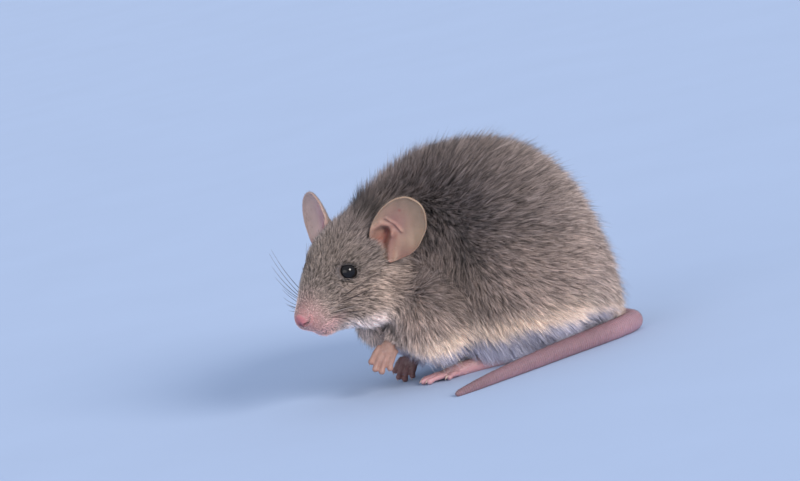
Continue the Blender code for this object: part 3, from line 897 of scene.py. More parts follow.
def lie_of_coat(points, normals):
    """The way in which the coat lies along the surface, from root to tip."""
    back, left, up = head_terms(points).T
    stations = (-20, -10, 0, 15, 28)
    along = np.interp(points[:, 0], stations, (0.50, 0.50, 0.80, 0.95, 0.40))
    down = np.interp(points[:, 0], stations, (1.0, 0.95, 0.65, 0.52, 0.8))
    down = down * np.interp(points[:, 2], (4, 16, 30), (1.5, 1.0, 0.8))
    top = ease(0.1, 0.65, normals[:, 2]) * ease(22, 30, points[:, 2])
    along = along + (0.95 - along) * top
    down = down * (1 - 0.9 * top)
    body = along[:, None] * (1.0, 0.0, 0.0) + down[:, None] * (0.0, 0.0, -1.0)
    for hand in HANDS:
        away = points - (WHORL[0], WHORL[1] * hand, WHORL[2])
        reach = np.linalg.norm(away, axis=1)
        away[:, 0] = np.maximum(away[:, 0], 0.0)
        away[:, 2] = np.where(away[:, 2] > 0, away[:, 2] * 0.4, away[:, 2])
        body = body + away / np.maximum(reach, 0.5)[:, None] * (0.4 * ease(11, 2, reach))[:, None]
    out = np.sign(left) * ease(0.5, 4.0, np.abs(left))
    drop = 0.10 + 0.25 * ease(1.0, -5.0, up) + 1.3 * ease(7, 17, back) * ease(3.5, -4.0, up)
    head = np.tile(HEAD_AXES[:, 0], (len(points), 1))
    head = head + HEAD_AXES[:, 1] * (0.22 * out)[:, None] - HEAD_AXES[:, 2] * drop[:, None]
    share = head_share(points, 6.0)[:, None]
    way = across(head * share + body * (1 - share), normals)
    for hand in HANDS:
        offset = across(points - eye_place(hand), normals)
        reach = np.linalg.norm(offset, axis=1)
        radial = unit(offset)
        towards = np.minimum(dot(unit(way), radial), 0.0)
        way = unit(way) - radial * (towards * ease(4.6, 2.4, reach) * 1.15)[:, None]
    leg, _ = on_leg(points)
    for elbow, wrist, _ in (LIFTED_FORE, RESTING_FORE):
        run = unit(np.array(wrist) - np.array(elbow))
        near = ease(3.6, 2.6, to_segment(points, elbow, wrist)[0])
        way = way * (1 - leg * near)[:, None] + run * (leg * near)[:, None]
    return unit(across(way, normals))


def coat_measures(points, normals):
    """Depth, slope from the normal in degrees, width, and hairs per square millimetre at each place."""
    back, _, up = head_terms(points).T
    x, z = points[:, 0], points[:, 2]
    share = head_share(points)
    leg, _ = on_leg(points)

    def shared(on_body, on_head, on_legs):
        """A measure from its value on the body, the head and the free part of a leg."""
        value = on_body * (1 - share) + on_head * share
        return value * (1 - leg) + on_legs * leg

    shelf = ease(-2, -8, x) * ease(26, 20, z) * ease(-0.1, 0.4, normals[:, 2])
    slope = np.interp(x, (-20, -10, 0, 10, 20, 28), (44, 40, 38, 41, 48, 52)) + 9 * ease(16, 6, z) + 9 * shelf
    on_head = np.interp(back, (0, 4, 9, 14, 20), (68, 62, 55, 47, 40)) + 8 * ease(-1, -5, up)
    slope = np.minimum(shared(slope, on_head, 64), 68)
    width = shared(0.076, np.interp(back, (0, 4, 10, 18), (0.038, 0.046, 0.055, 0.066)), 0.055)
    density = shared(68, np.interp(back, (0, 3, 6, 10, 18), (64, 72, 86, 92, 78)), 90)
    density = density * np.where(normals[:, 2] < -0.75, 0.75, 1.0)
    off = off_lids(points)
    density = density * ease(-0.15, 0.1, off) * (1 + 0.7 * ease(1.4, 0.6, off))
    density = density * (1 - ease(0.4, 1.0, pad_share(points)))
    return coat_depth(points), slope, width, density


def scattered(points, faces, density, rng):
    """Random places on a surface: the face of each and its three shares. The density is per point."""
    area = np.linalg.norm(face_normals(points, faces), axis=1) / 2
    expected = area * density[faces].mean(axis=1)
    counts = np.floor(expected + rng.random(len(faces))).astype(int)
    chosen = np.repeat(np.arange(len(faces)), counts)
    a, b = rng.random(len(chosen)), rng.random(len(chosen))
    over = a + b > 1
    a[over], b[over] = 1 - a[over], 1 - b[over]
    return chosen, np.stack([1 - a - b, a, b], -1)


def spread_over(values, faces, chosen, shares):
    """The values of a mesh's points at scattered places."""
    corners = values[faces[chosen]]
    weights = shares if values.ndim == 1 else shares[..., None]
    return (corners * weights).sum(axis=1)


def turned(vectors, axes, angles):
    """Each vector turned about its own axis."""
    cosine, sine = np.cos(angles)[:, None], np.sin(angles)[:, None]
    along = axes * dot(axes, vectors)[:, None]
    return vectors * cosine + np.cross(axes, vectors) * sine + along * (1 - cosine)


def hair_lines(roots, normals, way, length, slope, bend):
    """Centrelines that leave the skin steeply and bend over towards their tips."""
    line, steps = [roots], HAIR_POINTS - 1
    for k in range(steps):
        angle = np.radians(slope + bend * ((k + 0.5) / steps - 0.5))
        angle = np.clip(angle, 0.05, math.radians(FLATTEST))
        step = np.cos(angle)[:, None] * normals + np.sin(angle)[:, None] * way
        line.append(line[-1] + step * (length / steps)[:, None])
    return np.stack(line, axis=1)


def nearest_of(places, picked):
    """For each place, which of the picked places lies nearest."""
    tree = kdtree.KDTree(len(picked))
    for k, place in enumerate(picked):
        tree.insert(place, k)
    tree.balance()
    return np.array([tree.find(place)[1] for place in places])


def drawn_together(lines, leaders, pull):
    """Hairs drawn towards the leading hair of their tuft, most at their tips."""
    share = np.linspace(0, 1, HAIR_POINTS) ** 1.5
    return lines + (leaders - lines) * share[None, :, None] * pull[:, None, None]


def blades(lines, normals, widths, twist):
    """Flat tapering blades along centrelines: points, triangles, way along, side and hair of each point."""
    hairs, count = lines.shape[:2]
    along = unit(lines[:, -1] - lines[:, 0])
    side = unit(np.cross(along, normals))
    side = turned(side, along, twist)
    taper = np.linspace(1.0, TAPER, count - 1) * 0.5
    offset = side[:, None, :] * (widths[:, None] * taper)[:, :, None]
    low, high = lines[:, :-1] - offset, lines[:, :-1] + offset
    pairs = np.stack([low, high], axis=2).reshape(hairs, -1, 3)
    points = np.concatenate([pairs, lines[:, -1:]], axis=1)
    each = points.shape[1]
    pattern = []
    for k in range(count - 2):
        pattern += [(2 * k, 2 * k + 1, 2 * k + 3), (2 * k, 2 * k + 3, 2 * k + 2)]
    pattern.append((each - 3, each - 2, each - 1))
    faces = (np.array(pattern)[None] + (np.arange(hairs) * each)[:, None, None]).reshape(-1, 3)
    way = np.append(np.repeat(np.arange(count - 1) / (count - 1), 2), 1.0)
    hand = np.append(np.tile((-1.0, 1.0), count - 1), 0.0)
    hair = np.repeat(np.arange(hairs), each)
    return points.reshape(-1, 3), faces, np.tile(way, hairs), np.tile(hand, hairs), hair


def stopped(lines, obstacle, near):
    """Which hairs run into an obstacle. Only those chosen by near are tried."""
    hit = np.zeros(len(lines), bool)
    for k in np.flatnonzero(near):
        for start, end in zip(lines[k], lines[k][1:]):
            run = Vector(end - start)
            if obstacle.ray_cast(Vector(start), run, run.length)[0] is not None:
                hit[k] = True
                break
    return hit


# The line along the middle of the body, as its side and height, and the height of the head's own.
MIDDLE_LINE, MIDDLE_HEIGHT, HEAD_MIDDLE = 0.8, 19, -2.5


def unwrapped(points):
    """How far round the body's own shape each place lies, 0 to 1, and how far along it, in millimetres."""
    back, left, up = head_terms(points).T
    share = head_share(points)
    head_turn = np.arctan2(up - HEAD_MIDDLE, np.abs(left) + 0.01)
    body_turn = np.arctan2(points[:, 2] - MIDDLE_HEIGHT, np.abs(points[:, 1] - MIDDLE_LINE) + 0.01)
    turn = np.where(share > 0.5, head_turn, body_turn) / math.pi + 0.5
    length = np.where(share > 0.5, back, points[:, 0])
    return turn, length


def region_of(points):
    """The name of the coat piece that each root belongs to."""
    _, left, _ = head_terms(points).T
    share, x = head_share(points), points[:, 0]
    left_side = np.where(share > 0.5, left > 0, points[:, 1] < MIDDLE_LINE)
    parts = [share > 0.5, x < -7, x < 2, x < 11, x < 20]
    bands = np.select(parts, ["head", "shoulder", "side", "flank", "rump"], "stern")
    sides = np.where(left_side, "left", "right")
    return np.array([f"{band}_{side}" for band, side in zip(bands, sides)])


class Body:
    """The worked surfaces of the animal, made once and shared by the operators."""

    def __init__(self):
        self.tips, self.faces, self.normals = coat_surface()
        self.skin, self.skin_faces, self.skin_normals = body_skin(self.tips, self.faces)
        self.paws, self.claws = limbs()
        self.tail = tail_form()
        self.ears = {hand: ear_form(hand) for hand in HANDS}
        self.lids = {hand: lid_form(hand) for hand in HANDS}


@functools.cache
def body():
    """The body's surfaces, worked out at the first call."""
    return Body()


FORE_PAWS_FROM = -9.0  # along the body, forwards
SHANK_HEIGHT = 3.1


def low_part(points, faces):
    """The faces of a paw that lie below the coat: all of a fore paw, and a hind foot without its shank."""
    if points[:, 0].mean() < FORE_PAWS_FROM:
        return points, faces
    return points, faces[points[faces][:, :, 2].max(axis=1) < SHANK_HEIGHT]


def tree_of(forms):
    """A search tree over several forms."""
    points, faces = joined(forms)
    return BVHTree.FromPolygons(points.tolist(), faces.tolist())


# ---------------------------------------------------------------- shader expressions


class Term:
    """A socket of a material. Sums on it add the nodes that work them out."""

    def __init__(self, sheet, socket):
        self.sheet, self.socket = sheet, socket

    def wide(self):
        return self.socket.type in ("RGBA", "VECTOR")

    def worked(self, operation, first, second):
        kind, pair = "ShaderNodeMath", (first, second)
        if any(isinstance(term, Term) and term.wide() for term in pair):
            kind = "ShaderNodeVectorMath"
            pair = [term if isinstance(term, Term) else (term, term, term) for term in pair]
        return self.sheet.add(kind, {"operation": operation}, dict(enumerate(pair)))

    def __add__(self, other):
        return self.worked("ADD", self, other)

    def __radd__(self, other):
        return self.worked("ADD", other, self)

    def __rsub__(self, other):
        return self.worked("SUBTRACT", other, self)

    def __mul__(self, other):
        return self.worked("MULTIPLY", self, other)

    def __gt__(self, other):
        return self.worked("GREATER_THAN", self, other)

    def sine(self):
        return self.sheet.add("ShaderNodeMath", {"operation": "SINE"}, {0: self})


class Sheet:
    """A new material, and the nodes that are added to it."""

    def __init__(self, name):
        self.material = bpy.data.materials.new(name)
        self.material.use_nodes = True
        self.tree = self.material.node_tree
        self.shader = self.tree.nodes["Principled BSDF"]

    def add(self, kind, settings=None, inputs=None, output=0):
        node = self.tree.nodes.new(kind)
        for name, value in (settings or {}).items():
            setattr(node, name, value)
        for place, value in (inputs or {}).items():
            self.feed(node.inputs[place], value)
        return Term(self, node.outputs[output])

    def feed(self, socket, value):
        if isinstance(value, Term):
            self.tree.links.new(value.socket, socket)
        elif socket.type == "RGBA":
            socket.default_value = (*value[:3], 1.0)
        else:
            socket.default_value = value

    def layer(self, name, output="Fac"):
        return self.add("ShaderNodeAttribute", {"attribute_name": name}, output=output)

    def mixed(self, share, first, second):
        settings = {"data_type": "RGBA", "clamp_factor": True}
        return self.add("ShaderNodeMix", settings, {0: share, 6: first, 7: second}, 2)

    def eased(self, start, end, value):
        settings = {"interpolation_type": "SMOOTHSTEP"}
        return self.add("ShaderNodeMapRange", settings, {"Value": value, "From Min": start, "From Max": end})

    def noise(self, scale, detail=3.0, rough=0.5):
        where = self.add("ShaderNodeTexCoord", output="Object")
        inputs = {"Vector": where, "Scale": scale, "Detail": detail, "Roughness": rough}
        return self.add("ShaderNodeTexNoise", None, inputs)

    def bump(self, height, distance, strength):
        inputs = {"Strength": strength, "Distance": distance, "Height": height}
        return self.add("ShaderNodeBump", None, inputs)

    def finished(self, **sockets):
        for name, value in sockets.items():
            self.feed(self.shader.inputs[name.replace("_", " ").title().replace("Ior", "IOR")], value)
        return self.material


def coat_material(settings):
    """Banded hairs: slate at the root, the coat's own colour above it, and a darker tip on many."""
    sheet = Sheet("coat")
    colour = sheet.layer("marking", "Color")
    along, chance = sheet.layer("along"), sheet.layer("chance")
    shades = (settings.root_shade, settings.band_shade, settings.tip_shade)
    root, band, tip = (colour * shade for shade in shades)
    base = sheet.mixed(sheet.eased(0.20, 0.72, along), root, band)
    tipped = sheet.eased(0.50, 0.62, chance)
    base = sheet.mixed(sheet.eased(0.66, 0.90, along) * tipped, base, tip)
    dark = sheet.eased(0.70, 0.78, chance)
    base = sheet.mixed(dark, base, tip * (0.75 + along * 0.35))
    base = base * (0.84 + sheet.noise(900.0, 2.0) * 0.32) * (1.78 - chance * 1.56)
    return sheet.finished(
        base_color=base, roughness=0.62, specular_ior_level=0.28, sheen_weight=0.12, sheen_roughness=0.5
    )


def skin_material():
    """Skin with its own mottling and grain, and rings of scales on the tail."""
    sheet = Sheet("skin")
    colour = sheet.layer("marking", "Color")
    bare, ring, tail = (sheet.layer(name) for name in ("bare", "ring", "tail"))
    cloud, grain = sheet.noise(420.0, 4.0, 0.6), sheet.noise(2600.0, 3.0, 0.6)
    scales = (ring * math.tau).sine()
    tone = colour * (0.84 + cloud * 0.32) * (0.94 + grain * 0.12) * (1.0 + tail * scales * 0.10)
    height = grain * 0.5 + cloud * 0.4 + tail * scales * 0.9
    return sheet.finished(
        base_color=tone,
        roughness=0.62 - bare * 0.14 + grain * 0.08,
        normal=sheet.bump(height, 0.00006, 0.8),
        specular_ior_level=0.4,
        subsurface_weight=0.2,
        subsurface_radius=(0.0012, 0.0005, 0.0003),
        subsurface_scale=0.6,
    )


def eye_material():
    """The wet black of an eye."""
    sheet = Sheet("eye")
    tone = sheet.mixed(sheet.noise(700.0, 2.0), (0.0035, 0.003, 0.003), (0.008, 0.006, 0.006))
    return sheet.finished(base_color=tone, roughness=0.05, ior=1.38, specular_ior_level=0.5)


def claw_material():
    """Pale horn, a little clouded."""
    sheet = Sheet("claw")
    cloud = sheet.noise(500.0, 2.0)
    return sheet.finished(
        base_color=sheet.mixed(cloud, linear((170, 142, 130)), linear((198, 178, 164))),
        roughness=0.35,
        normal=sheet.bump(cloud, 0.00003, 0.5),
        subsurface_weight=0.2,
        subsurface_radius=(0.0006, 0.0003, 0.0002),
        subsurface_scale=0.5,
    )


def whisker_material():
    """Dark whiskers that pale towards their tips, and a few pale ones."""
    sheet = Sheet("whisker")
    pale = sheet.layer("chance") > 0.95
    dark = sheet.mixed(sheet.layer("along"), linear((48, 38, 36)), linear((92, 80, 76)))
    tone = sheet.mixed(pale, dark, linear((160, 150, 144)))
    return sheet.finished(base_color=tone, roughness=0.75, specular_ior_level=0.15)


# ---------------------------------------------------------------- settings


def colour_setting(name, description, default):
    """A colour setting from a screen colour, 0 to 255."""
    default = tuple(linear(default))
    return bpy.props.FloatVectorProperty(
        name=name, description=description, default=default, size=3, min=0, max=1, subtype="COLOR"
    )


def number_setting(name, description, default, low, high, **kind):
    """A number setting. Its kind is a subtype or a unit."""
    return bpy.props.FloatProperty(
        name=name, description=description, default=default, min=low, max=high, **kind
    )


class MouseCoatSettings(bpy.types.PropertyGroup):
    """Colours, bands and lie of the coat"""

    back_colour: colour_setting("Back", "Colour of the coat along the back and crown", (141, 127, 122))
    flank_colour: colour_setting("Flank", "Colour of the coat on the sides", (190, 170, 160))
    # painted light: the colour of the rump as it looks where the light falls on it
    lit_rump_colour: colour_setting("Rump", "Colour of the coat over the hind end", (190, 172, 164))
    # the lowest coat's own paler colour, with painted light of its lit edge
    pale_lit_fringe_colour: colour_setting("Fringe", "Colour of the lowest coat of the sides", (246, 226, 206))
    # the belly's own grey with the blue-grey of its shade painted in
    shaded_belly_colour: colour_setting("Belly", "Colour of the coat below", (160, 158, 172))
    face_colour: colour_setting("Face", "Colour of the coat on the forehead", (150, 135, 125))
    cheek_colour: colour_setting("Cheek", "Colour of the coat on the cheeks", (186, 166, 153))
    muzzle_colour: colour_setting("Muzzle", "Colour of the short coat round the nose", (204, 170, 164))
    lip_colour: colour_setting("Lips", "Colour of the short coat along the lips", (228, 184, 178))
    jaw_colour: colour_setting("Jaw", "Colour of the coat below the cheek", (250, 232, 224))
    root_shade: number_setting(
        "Root shade", "How light a hair's root is, beside the coat's colour", 0.28, 0, 2, subtype="FACTOR"
    )
    band_shade: number_setting(
        "Band shade", "How light a hair's band is, beside the coat's colour", 1.3, 0, 2, subtype="FACTOR"
    )
    tip_shade: number_setting(
        "Tip shade", "How light a dark tip is, beside the coat's colour", 0.36, 0, 2, subtype="FACTOR"
    )
    fullness: number_setting("Fullness", "Share of the full number of hairs", 1.0, 0.05, 1, subtype="FACTOR")
    clumping: number_setting(
        "Clumping", "How far the tips of a tuft draw together", 0.75, 0, 1, subtype="FACTOR"
    )
    unrest: number_setting("Unrest", "How far tufts turn from the lie of the coat, in degrees", 10, 0, 60)


class MouseSkinSettings(bpy.types.PropertyGroup):
    """Colours of the bare skin, and the whiskers"""

    nose_colour: colour_setting("Nose", "Colour of the bare pad of the nose", (176, 110, 114))
    lid_colour: colour_setting("Lids", "Colour of the bare rims of the eyes", (82, 71, 69))
    ear_colour: colour_setting("Ear", "Colour of the ear towards its edge", (161, 136, 114))
    ear_inner_colour: colour_setting("Inner ear", "Colour of the folds inside the ear", (150, 108, 102))
    paw_colour: colour_setting("Paws", "Colour of the bare skin of the paws", (180, 138, 122))
    tail_colour: colour_setting("Tail", "Colour of the tail", (144, 112, 120))
    whisker_length: number_setting(
        "Whisker length", "Length of the longest whisker", 0.0135, 0.002, 0.02, unit="LENGTH"
    )


class MouseStageSettings(bpy.types.PropertyGroup):
    """Floor, light and lens"""

    floor_colour: colour_setting("Floor", "Colour of the floor", (178, 195, 224))
    key_strength: number_setting("Key light", "Strength of the soft sun", 2.6, 0, 20)
    fill_strength: number_setting("Fill light", "Strength of the broad sun from the other side", 0.9, 0, 20)
    sky_strength: number_setting(
        "Sky", "Strength of the even light from all round", 1.15, 0, 5, subtype="FACTOR"
    )
    lens: number_setting("Lens", "Focal length of the camera", 200.0, 20, 400, unit="CAMERA")


# ---------------------------------------------------------------- the skin


# The paws from hind left to fore right: name, the place its coat starts from, and its knuckles.
PAWS = (
    ("hind_left", LEFT_HIND[0], LEFT_HIND[1]),
    ("hind_right", RIGHT_HIND[0], RIGHT_HIND[1]),
    ("fore_left", LIFTED_FORE[1], LIFTED_FORE[2]),
    ("fore_right", RESTING_FORE[1], RESTING_FORE[2]),
)
# Painted light and shade on each paw: the hind feet lighter and bluer, the lifted fore paw a little darker,
# the resting fore paw much darker in the body's shadow.
PAW_PAINTED_LIGHT = ((1.10, 1.10, 1.55), (1.10, 1.10, 1.55), (0.76, 0.79, 0.80), (0.36, 0.30, 0.36))
RIGHT_EAR_SHADE = (1.40, 1.42, 1.76)  # the light falls through it
TAIL_SCALE = 0.46  # from one ring of scales to the next


def body_colour(settings, coat):
    """The colour of the skin of head and body, and how bare it is."""
    shape = body()
    points = shape.skin
    back, _, up = head_terms(points).T
    pad = pad_share(points)
    _, pit, mouth = nose_folds(points, 0.24, 0.22)
    pink = ease(6.0, 2.0, np.linalg.norm((head_terms(points) - (1.2, 0, -1.0)) * (1, 1, 1.1), axis=1))
    rim = ease(0.2, -0.1, off_lids(points))
    colour = painted(
        marking(points, shape.skin_normals, coat) * 0.42,
        (linear((176, 128, 126)), pink * 0.9),
        (settings.nose_colour, pad),
        # painted shade: the lower part of the nose pad darker, where it turns away from the light
        (linear((96, 58, 66)), pad * ease(-0.5, -1.6, up) * 0.8),
        # painted shade in the hollows of the nostrils
        (linear((64, 26, 32)), pit * ease(3.2, 2.2, back) * 0.92),
        (linear((120, 70, 72)), mouth * 0.7),
        (settings.lid_colour, rim * 0.8),
    )
    return colour, np.clip(pad + rim, 0, 1)


def ear_colour(settings, hand):
    """The colour of an ear: tan at the edge, and pinker in its folds."""
    points, _, inside, wide, high = body().ears[hand]
    flat = np.stack([wide, high], -1)
    middle = np.exp(-(((wide + 1.4) / 2.6) ** 2) - ((high - 7.4) / 3.6) ** 2)
    colour = painted(
        settings.ear_colour,
        (settings.ear_inner_colour, middle * 0.85 * inside),
        (linear((132, 98, 88)), ease(5.5, 2.0, high) * ease(-1.5, 0.5, wide) * inside * 0.9),
        (linear((132, 92, 84)), on_tragus(flat) * inside * 0.85),
        (linear((146, 108, 96)), bell(to_line(flat, EAR_LOBE), 0.9) * inside * 0.7),
        (linear((168, 110, 98)), bell(np.hypot(wide + 3.9, (high - 3.9) * 0.6), 0.9) * inside * 0.8),
        # painted shade in the slit that leads into the ear
        (linear((138, 84, 74)), in_opening(flat, 0.9) * inside),
        (linear((150, 60, 56)), bell(np.hypot(wide + 0.8, high - 10.2), 0.28) * 0.5),
    )
    colour = colour * (1 + 0.05 * ripple(points, 2.2, 31))[:, None]
    if hand < 0:
        colour = colour * RIGHT_EAR_SHADE
    return colour * (1 - 0.3 * (1 - inside))[:, None]


def coloured_skin(settings, coat):
    """Every form of the skin with its colour, how bare it is, its rings and whether it is tail."""
    shape = body()
    parts = [(shape.skin, shape.skin_faces, *body_colour(settings, coat))]
    for hand in HANDS:
        points, faces = shape.lids[hand]
        lid = np.array(settings.lid_colour) * (0.2 + 0.6 * ease(-1, 12, past_edge(points, hand)))[:, None]
        parts.append((points, faces, lid, 1.0))
        points, faces = shape.ears[hand][:2]
        parts.append((points, faces, ear_colour(settings, hand), 0.9))
    for (points, faces), shade in zip(shape.paws, PAW_PAINTED_LIGHT):
        upper = ease(0.3, 1.6, points[:, 2]) * ease(9, 6, points[:, 2])
        # painted light and shade of this paw
        paw = painted(np.array(settings.paw_colour) * shade, (linear((158, 122, 122)), upper * 0.2))
        parts.append((points, faces, paw, 1.0))
    points, faces, along, length = shape.tail
    top = ease(0.4, 1.0, points[:, 2] / np.interp(along, (0, length), (3.6, 0.8)))
    tail = np.array(settings.tail_colour) * (1.04 - 0.16 * top)[:, None]
    tail = tail * (1 + 0.35 * ease(18, 26, points[:, 0]) - 0.14 * ease(-2, -10, points[:, 0]))[:, None]
    parts.append((points, faces, tail, 0.8))

    colour = np.concatenate([part[2] for part in parts])
    bare = np.concatenate([np.broadcast_to(part[3], len(part[0])) for part in parts])
    before = np.zeros(len(colour) - len(along))
    ring, on_tail = np.append(before, along / TAIL_SCALE), np.append(before, np.ones(len(along)))
    points, faces = joined([part[:2] for part in parts])
    return points, faces, colour, {"bare": bare, "ring": ring, "tail": on_tail}


class MOUSE_OT_skin(bpy.types.Operator):
    """Makes the one skin of head, body, ears, paws and tail"""

    bl_idname = "mouse.skin"
    bl_label = "Skin"

    def execute(self, context):
        settings = context.scene.mouse_skin
        points, faces, colour, numbers = coloured_skin(settings, context.scene.mouse_coat)
        nodes = (*FURRED, *BARE, *TAIL)
        piece("skin", points, faces, skin_material(), nodes, numbers, colour)
        return {"FINISHED"}


class MOUSE_OT_eyes(bpy.types.Operator):
    """Makes the two eyeballs"""

    bl_idname = "mouse.eyes"
    bl_label = "Eyes"

    def execute(self, context):
        material = eye_material()
        for hand, name in HANDS.items():
            points, faces = ball(ball_place(hand), EYEBALL_RADIUS, 40, 56)
            piece("eyeball_" + name, points, faces, material, ("eye_" + name,))
        return {"FINISHED"}


class MOUSE_OT_claws(bpy.types.Operator):
    """Makes the claws of all four feet"""

    bl_idname = "mouse.claws"
    bl_label = "Claws"

    def execute(self, context):
        points, faces = joined(body().claws)
        piece("claws", above(0.02, points), faces, claw_material())
        return {"FINISHED"}


# ---------------------------------------------------------------- the coat's operators


# The share of the hairs that lead a tuft and how many more do on the head, and the share that are guard hairs
# and how many more are on the body.
LEADERS, LEADERS_ON_HEAD = 0.25, 0.05
GUARDS, GUARDS_ON_BODY = 0.05, 0.04
# Degrees by which hairs bend over and by which single hairs stray, and the limits of their length.
BEND, BEND_STRAY, SLOPE_STRAY, TURN_STRAY, TWIST_STRAY = 16, 7, 4.0, 5, 28
SHORTEST, LONGEST = 0.40, 6.0
# How far the middle and the tip of the lowest hairs hang down.
HANG_OF_MIDDLE, HANG_OF_TIP = 0.8, 2.2
EAR_REGION, EAR_REGION_SIZE = (19.0, 9.5, 5.5), 11  # where hairs may run into an ear


def coat_of(settings):
    """All the hairs of the coat, as centrelines with what each needs."""
    rng = np.random.default_rng(COAT_SEED)
    shape = body()
    points, faces, normals = shape.tips, shape.faces, shape.normals
    density = coat_measures(points, normals)[3] * settings.fullness
    chosen, shares = scattered(points, faces, density, rng)
    tips = spread_over(points, faces, chosen, shares)
    out = unit(spread_over(normals, faces, chosen, shares))
    depth, slope, width, _ = coat_measures(tips, out)
    way = lie_of_coat(tips, out)
    roots = tips - out * depth[:, None]
    total = len(tips)

    # Some hairs lead a tuft each, and the others follow the nearest of them.
    on_head = head_share(tips)
    picks = np.flatnonzero(rng.random(total) < LEADERS + LEADERS_ON_HEAD * on_head)
    tufts = len(picks)
    tuft = nearest_of(roots, roots[picks])
    calm = 1 - 0.6 * on_head
    slope = slope + 4 * ripple(tips, 5.0, 3)
    slope = slope + calm * rng.normal(0, settings.unrest * 0.5, tufts)[tuft]
    slope = slope + rng.normal(0, SLOPE_STRAY, total)
    turn = 4 * ripple(tips, 8.0, 4) + rng.normal(0, TURN_STRAY, total)
    turn = turn + calm * rng.normal(0, settings.unrest, tufts)[tuft]
    way = turned(way, out, np.radians(turn))
    length = depth / np.cos(np.radians(np.clip(slope, 0, 66)))
    length = np.clip(length, SHORTEST, LONGEST) * rng.uniform(0.76, 1.10, tufts)[tuft]
    length = length * rng.uniform(0.86, 1.05, total)
    guard = rng.random(total) < GUARDS + GUARDS_ON_BODY * (1 - on_head)
    length = np.where(guard, length * rng.uniform(1.15, 1.42, total), length)
    lines = hair_lines(roots, out, way, length, slope, BEND + rng.normal(0, BEND_STRAY, total))
    pull = rng.uniform(0.45, 1.2, tufts)[tuft] * settings.clumping * np.where(guard, 0.5, 1.0)
    lines = drawn_together(lines, lines[picks][tuft], pull * (1 - 0.45 * on_head))

    # The lowest coat of the sides hangs.
    hang = ease(7.5, 3.5, tips[:, 2]) * ease(-13, -9, tips[:, 0]) * ease(18, 12, tips[:, 0]) * (1 - on_head)
    hang = hang * ease(0.1, -0.3, out[:, 2]) * rng.uniform(0.7, 1.2, total)
    lines[:, -1, 2] -= HANG_OF_TIP * hang
    lines[:, -2, 2] -= HANG_OF_MIDDLE * hang
    lines = above(0.04, lines)

    chance = 0.75 * rng.random(tufts)[tuft] + 0.25 * rng.random(total)
    chance = np.where(guard, np.maximum(chance, 0.7), chance)
    # Fewer dark hairs low on the sides, partly their own paler coat and partly painted light of their lit
    # edge, and at the front of the muzzle.
    pale = ease(12, 6, tips[:, 2]) * (1 - on_head) + ease(8, 3, head_terms(tips)[:, 0]) * on_head

    ears = tree_of([shape.ears[hand][:2] for hand in HANDS])
    feet = tree_of([low_part(*paw) for paw in shape.paws])
    ear_places = [head_place(*on_side(EAR_REGION, hand)) for hand in HANDS]
    from_ear = np.min([np.linalg.norm(tips - place, axis=1) for place in ear_places], axis=0)
    keep = ~stopped(lines, ears, from_ear < EAR_REGION_SIZE)
    keep &= ~stopped(lines, feet, (tips[:, 2] < 11) & keep & (head_share(tips) < 0.5))
    hairs = {
        "lines": lines,
        "roots": tips,
        "out": out,
        "width": width * np.where(guard, 1.2, rng.uniform(0.8, 1.15, total)),
        "chance": chance * (1 - 0.4 * pale),
        "twist": rng.normal(0, math.radians(TWIST_STRAY), total),
    }
    return {name: values[keep] for name, values in hairs.items()}


def hair_piece(name, hairs, spread, colours, material):
    """A piece of hairs. The spread gives the place of each root's patch on the bake's map, 0 to 1."""
    points, faces, way, hand, hair = blades(hairs["lines"], hairs["out"], hairs["width"], hairs["twist"])
    middles = PATCH + spread * (1 - 2 * PATCH)
    uv = middles[hair] + np.stack([hand, way * 2 - 1], -1) * PATCH / 2
    numbers = {"along": way, "chance": hairs["chance"][hair]}
    return piece(name, points, faces, material, (), numbers, colours[hair], uv)


class MOUSE_OT_coat(bpy.types.Operator):
    """Makes the coat of head and body, in pieces that lie side by side"""

    bl_idname = "mouse.coat"
    bl_label = "Coat"

    def execute(self, context):
        settings = context.scene.mouse_coat
        whole = coat_of(settings)
        regions = region_of(whole["roots"])
        material = coat_material(settings)
        for name in sorted(set(regions)):
            hairs = {key: values[regions == name] for key, values in whole.items()}
            turn, length = unwrapped(hairs["roots"])
            spread = np.stack([turn, (length - length.min()) / max(length.max() - length.min(), 1e-6)], -1)
            low, high = spread.min(axis=0), spread.max(axis=0)
            spread = (spread - low) / np.maximum(high - low, 1e-6)
            colours = marking(hairs["roots"], hairs["out"], settings)
            made = hair_piece("coat_" + name, hairs, spread, colours, material)
            if len(made.data.polygons) >= COAT_LIMIT:
                raise RuntimeError(f"{made.name} has {len(made.data.polygons)} triangles")
        return {"FINISHED"}


def down_piece(name, form, way, measures, colour, unwrap, rng):
    """A piece of sparse short hairs on bare skin. The unwrap gives each root's place on the map, 0 to 1."""
    points, faces, normals = form
    density, length, width, slope = measures
    chosen, shares = scattered(points, faces, density, rng)
    roots = spread_over(points, faces, chosen, shares)
    out = unit(spread_over(normals, faces, chosen, shares))
    lie = unit(across(spread_over(way, faces, chosen, shares), out))
    total = len(roots)
    lie = turned(lie, out, rng.normal(0, 0.25, total))
    size = spread_over(length, faces, chosen, shares) * rng.uniform(0.6, 1.15, total)
    lines = hair_lines(roots - out * 0.03, out, lie, size, slope + rng.normal(0, 5, total), BEND)
    hairs = {
        "lines": above(0.02, lines),
        "out": out,
        "width": np.full(total, width),
        "chance": rng.random(total),
        "twist": rng.normal(0, 0.4, total),
    }
    colours = np.tile(linear(colour), (total, 1))
    hair_piece("down_" + name, hairs, np.clip(unwrap(roots), 0, 1), colours, bpy.data.materials["coat"])


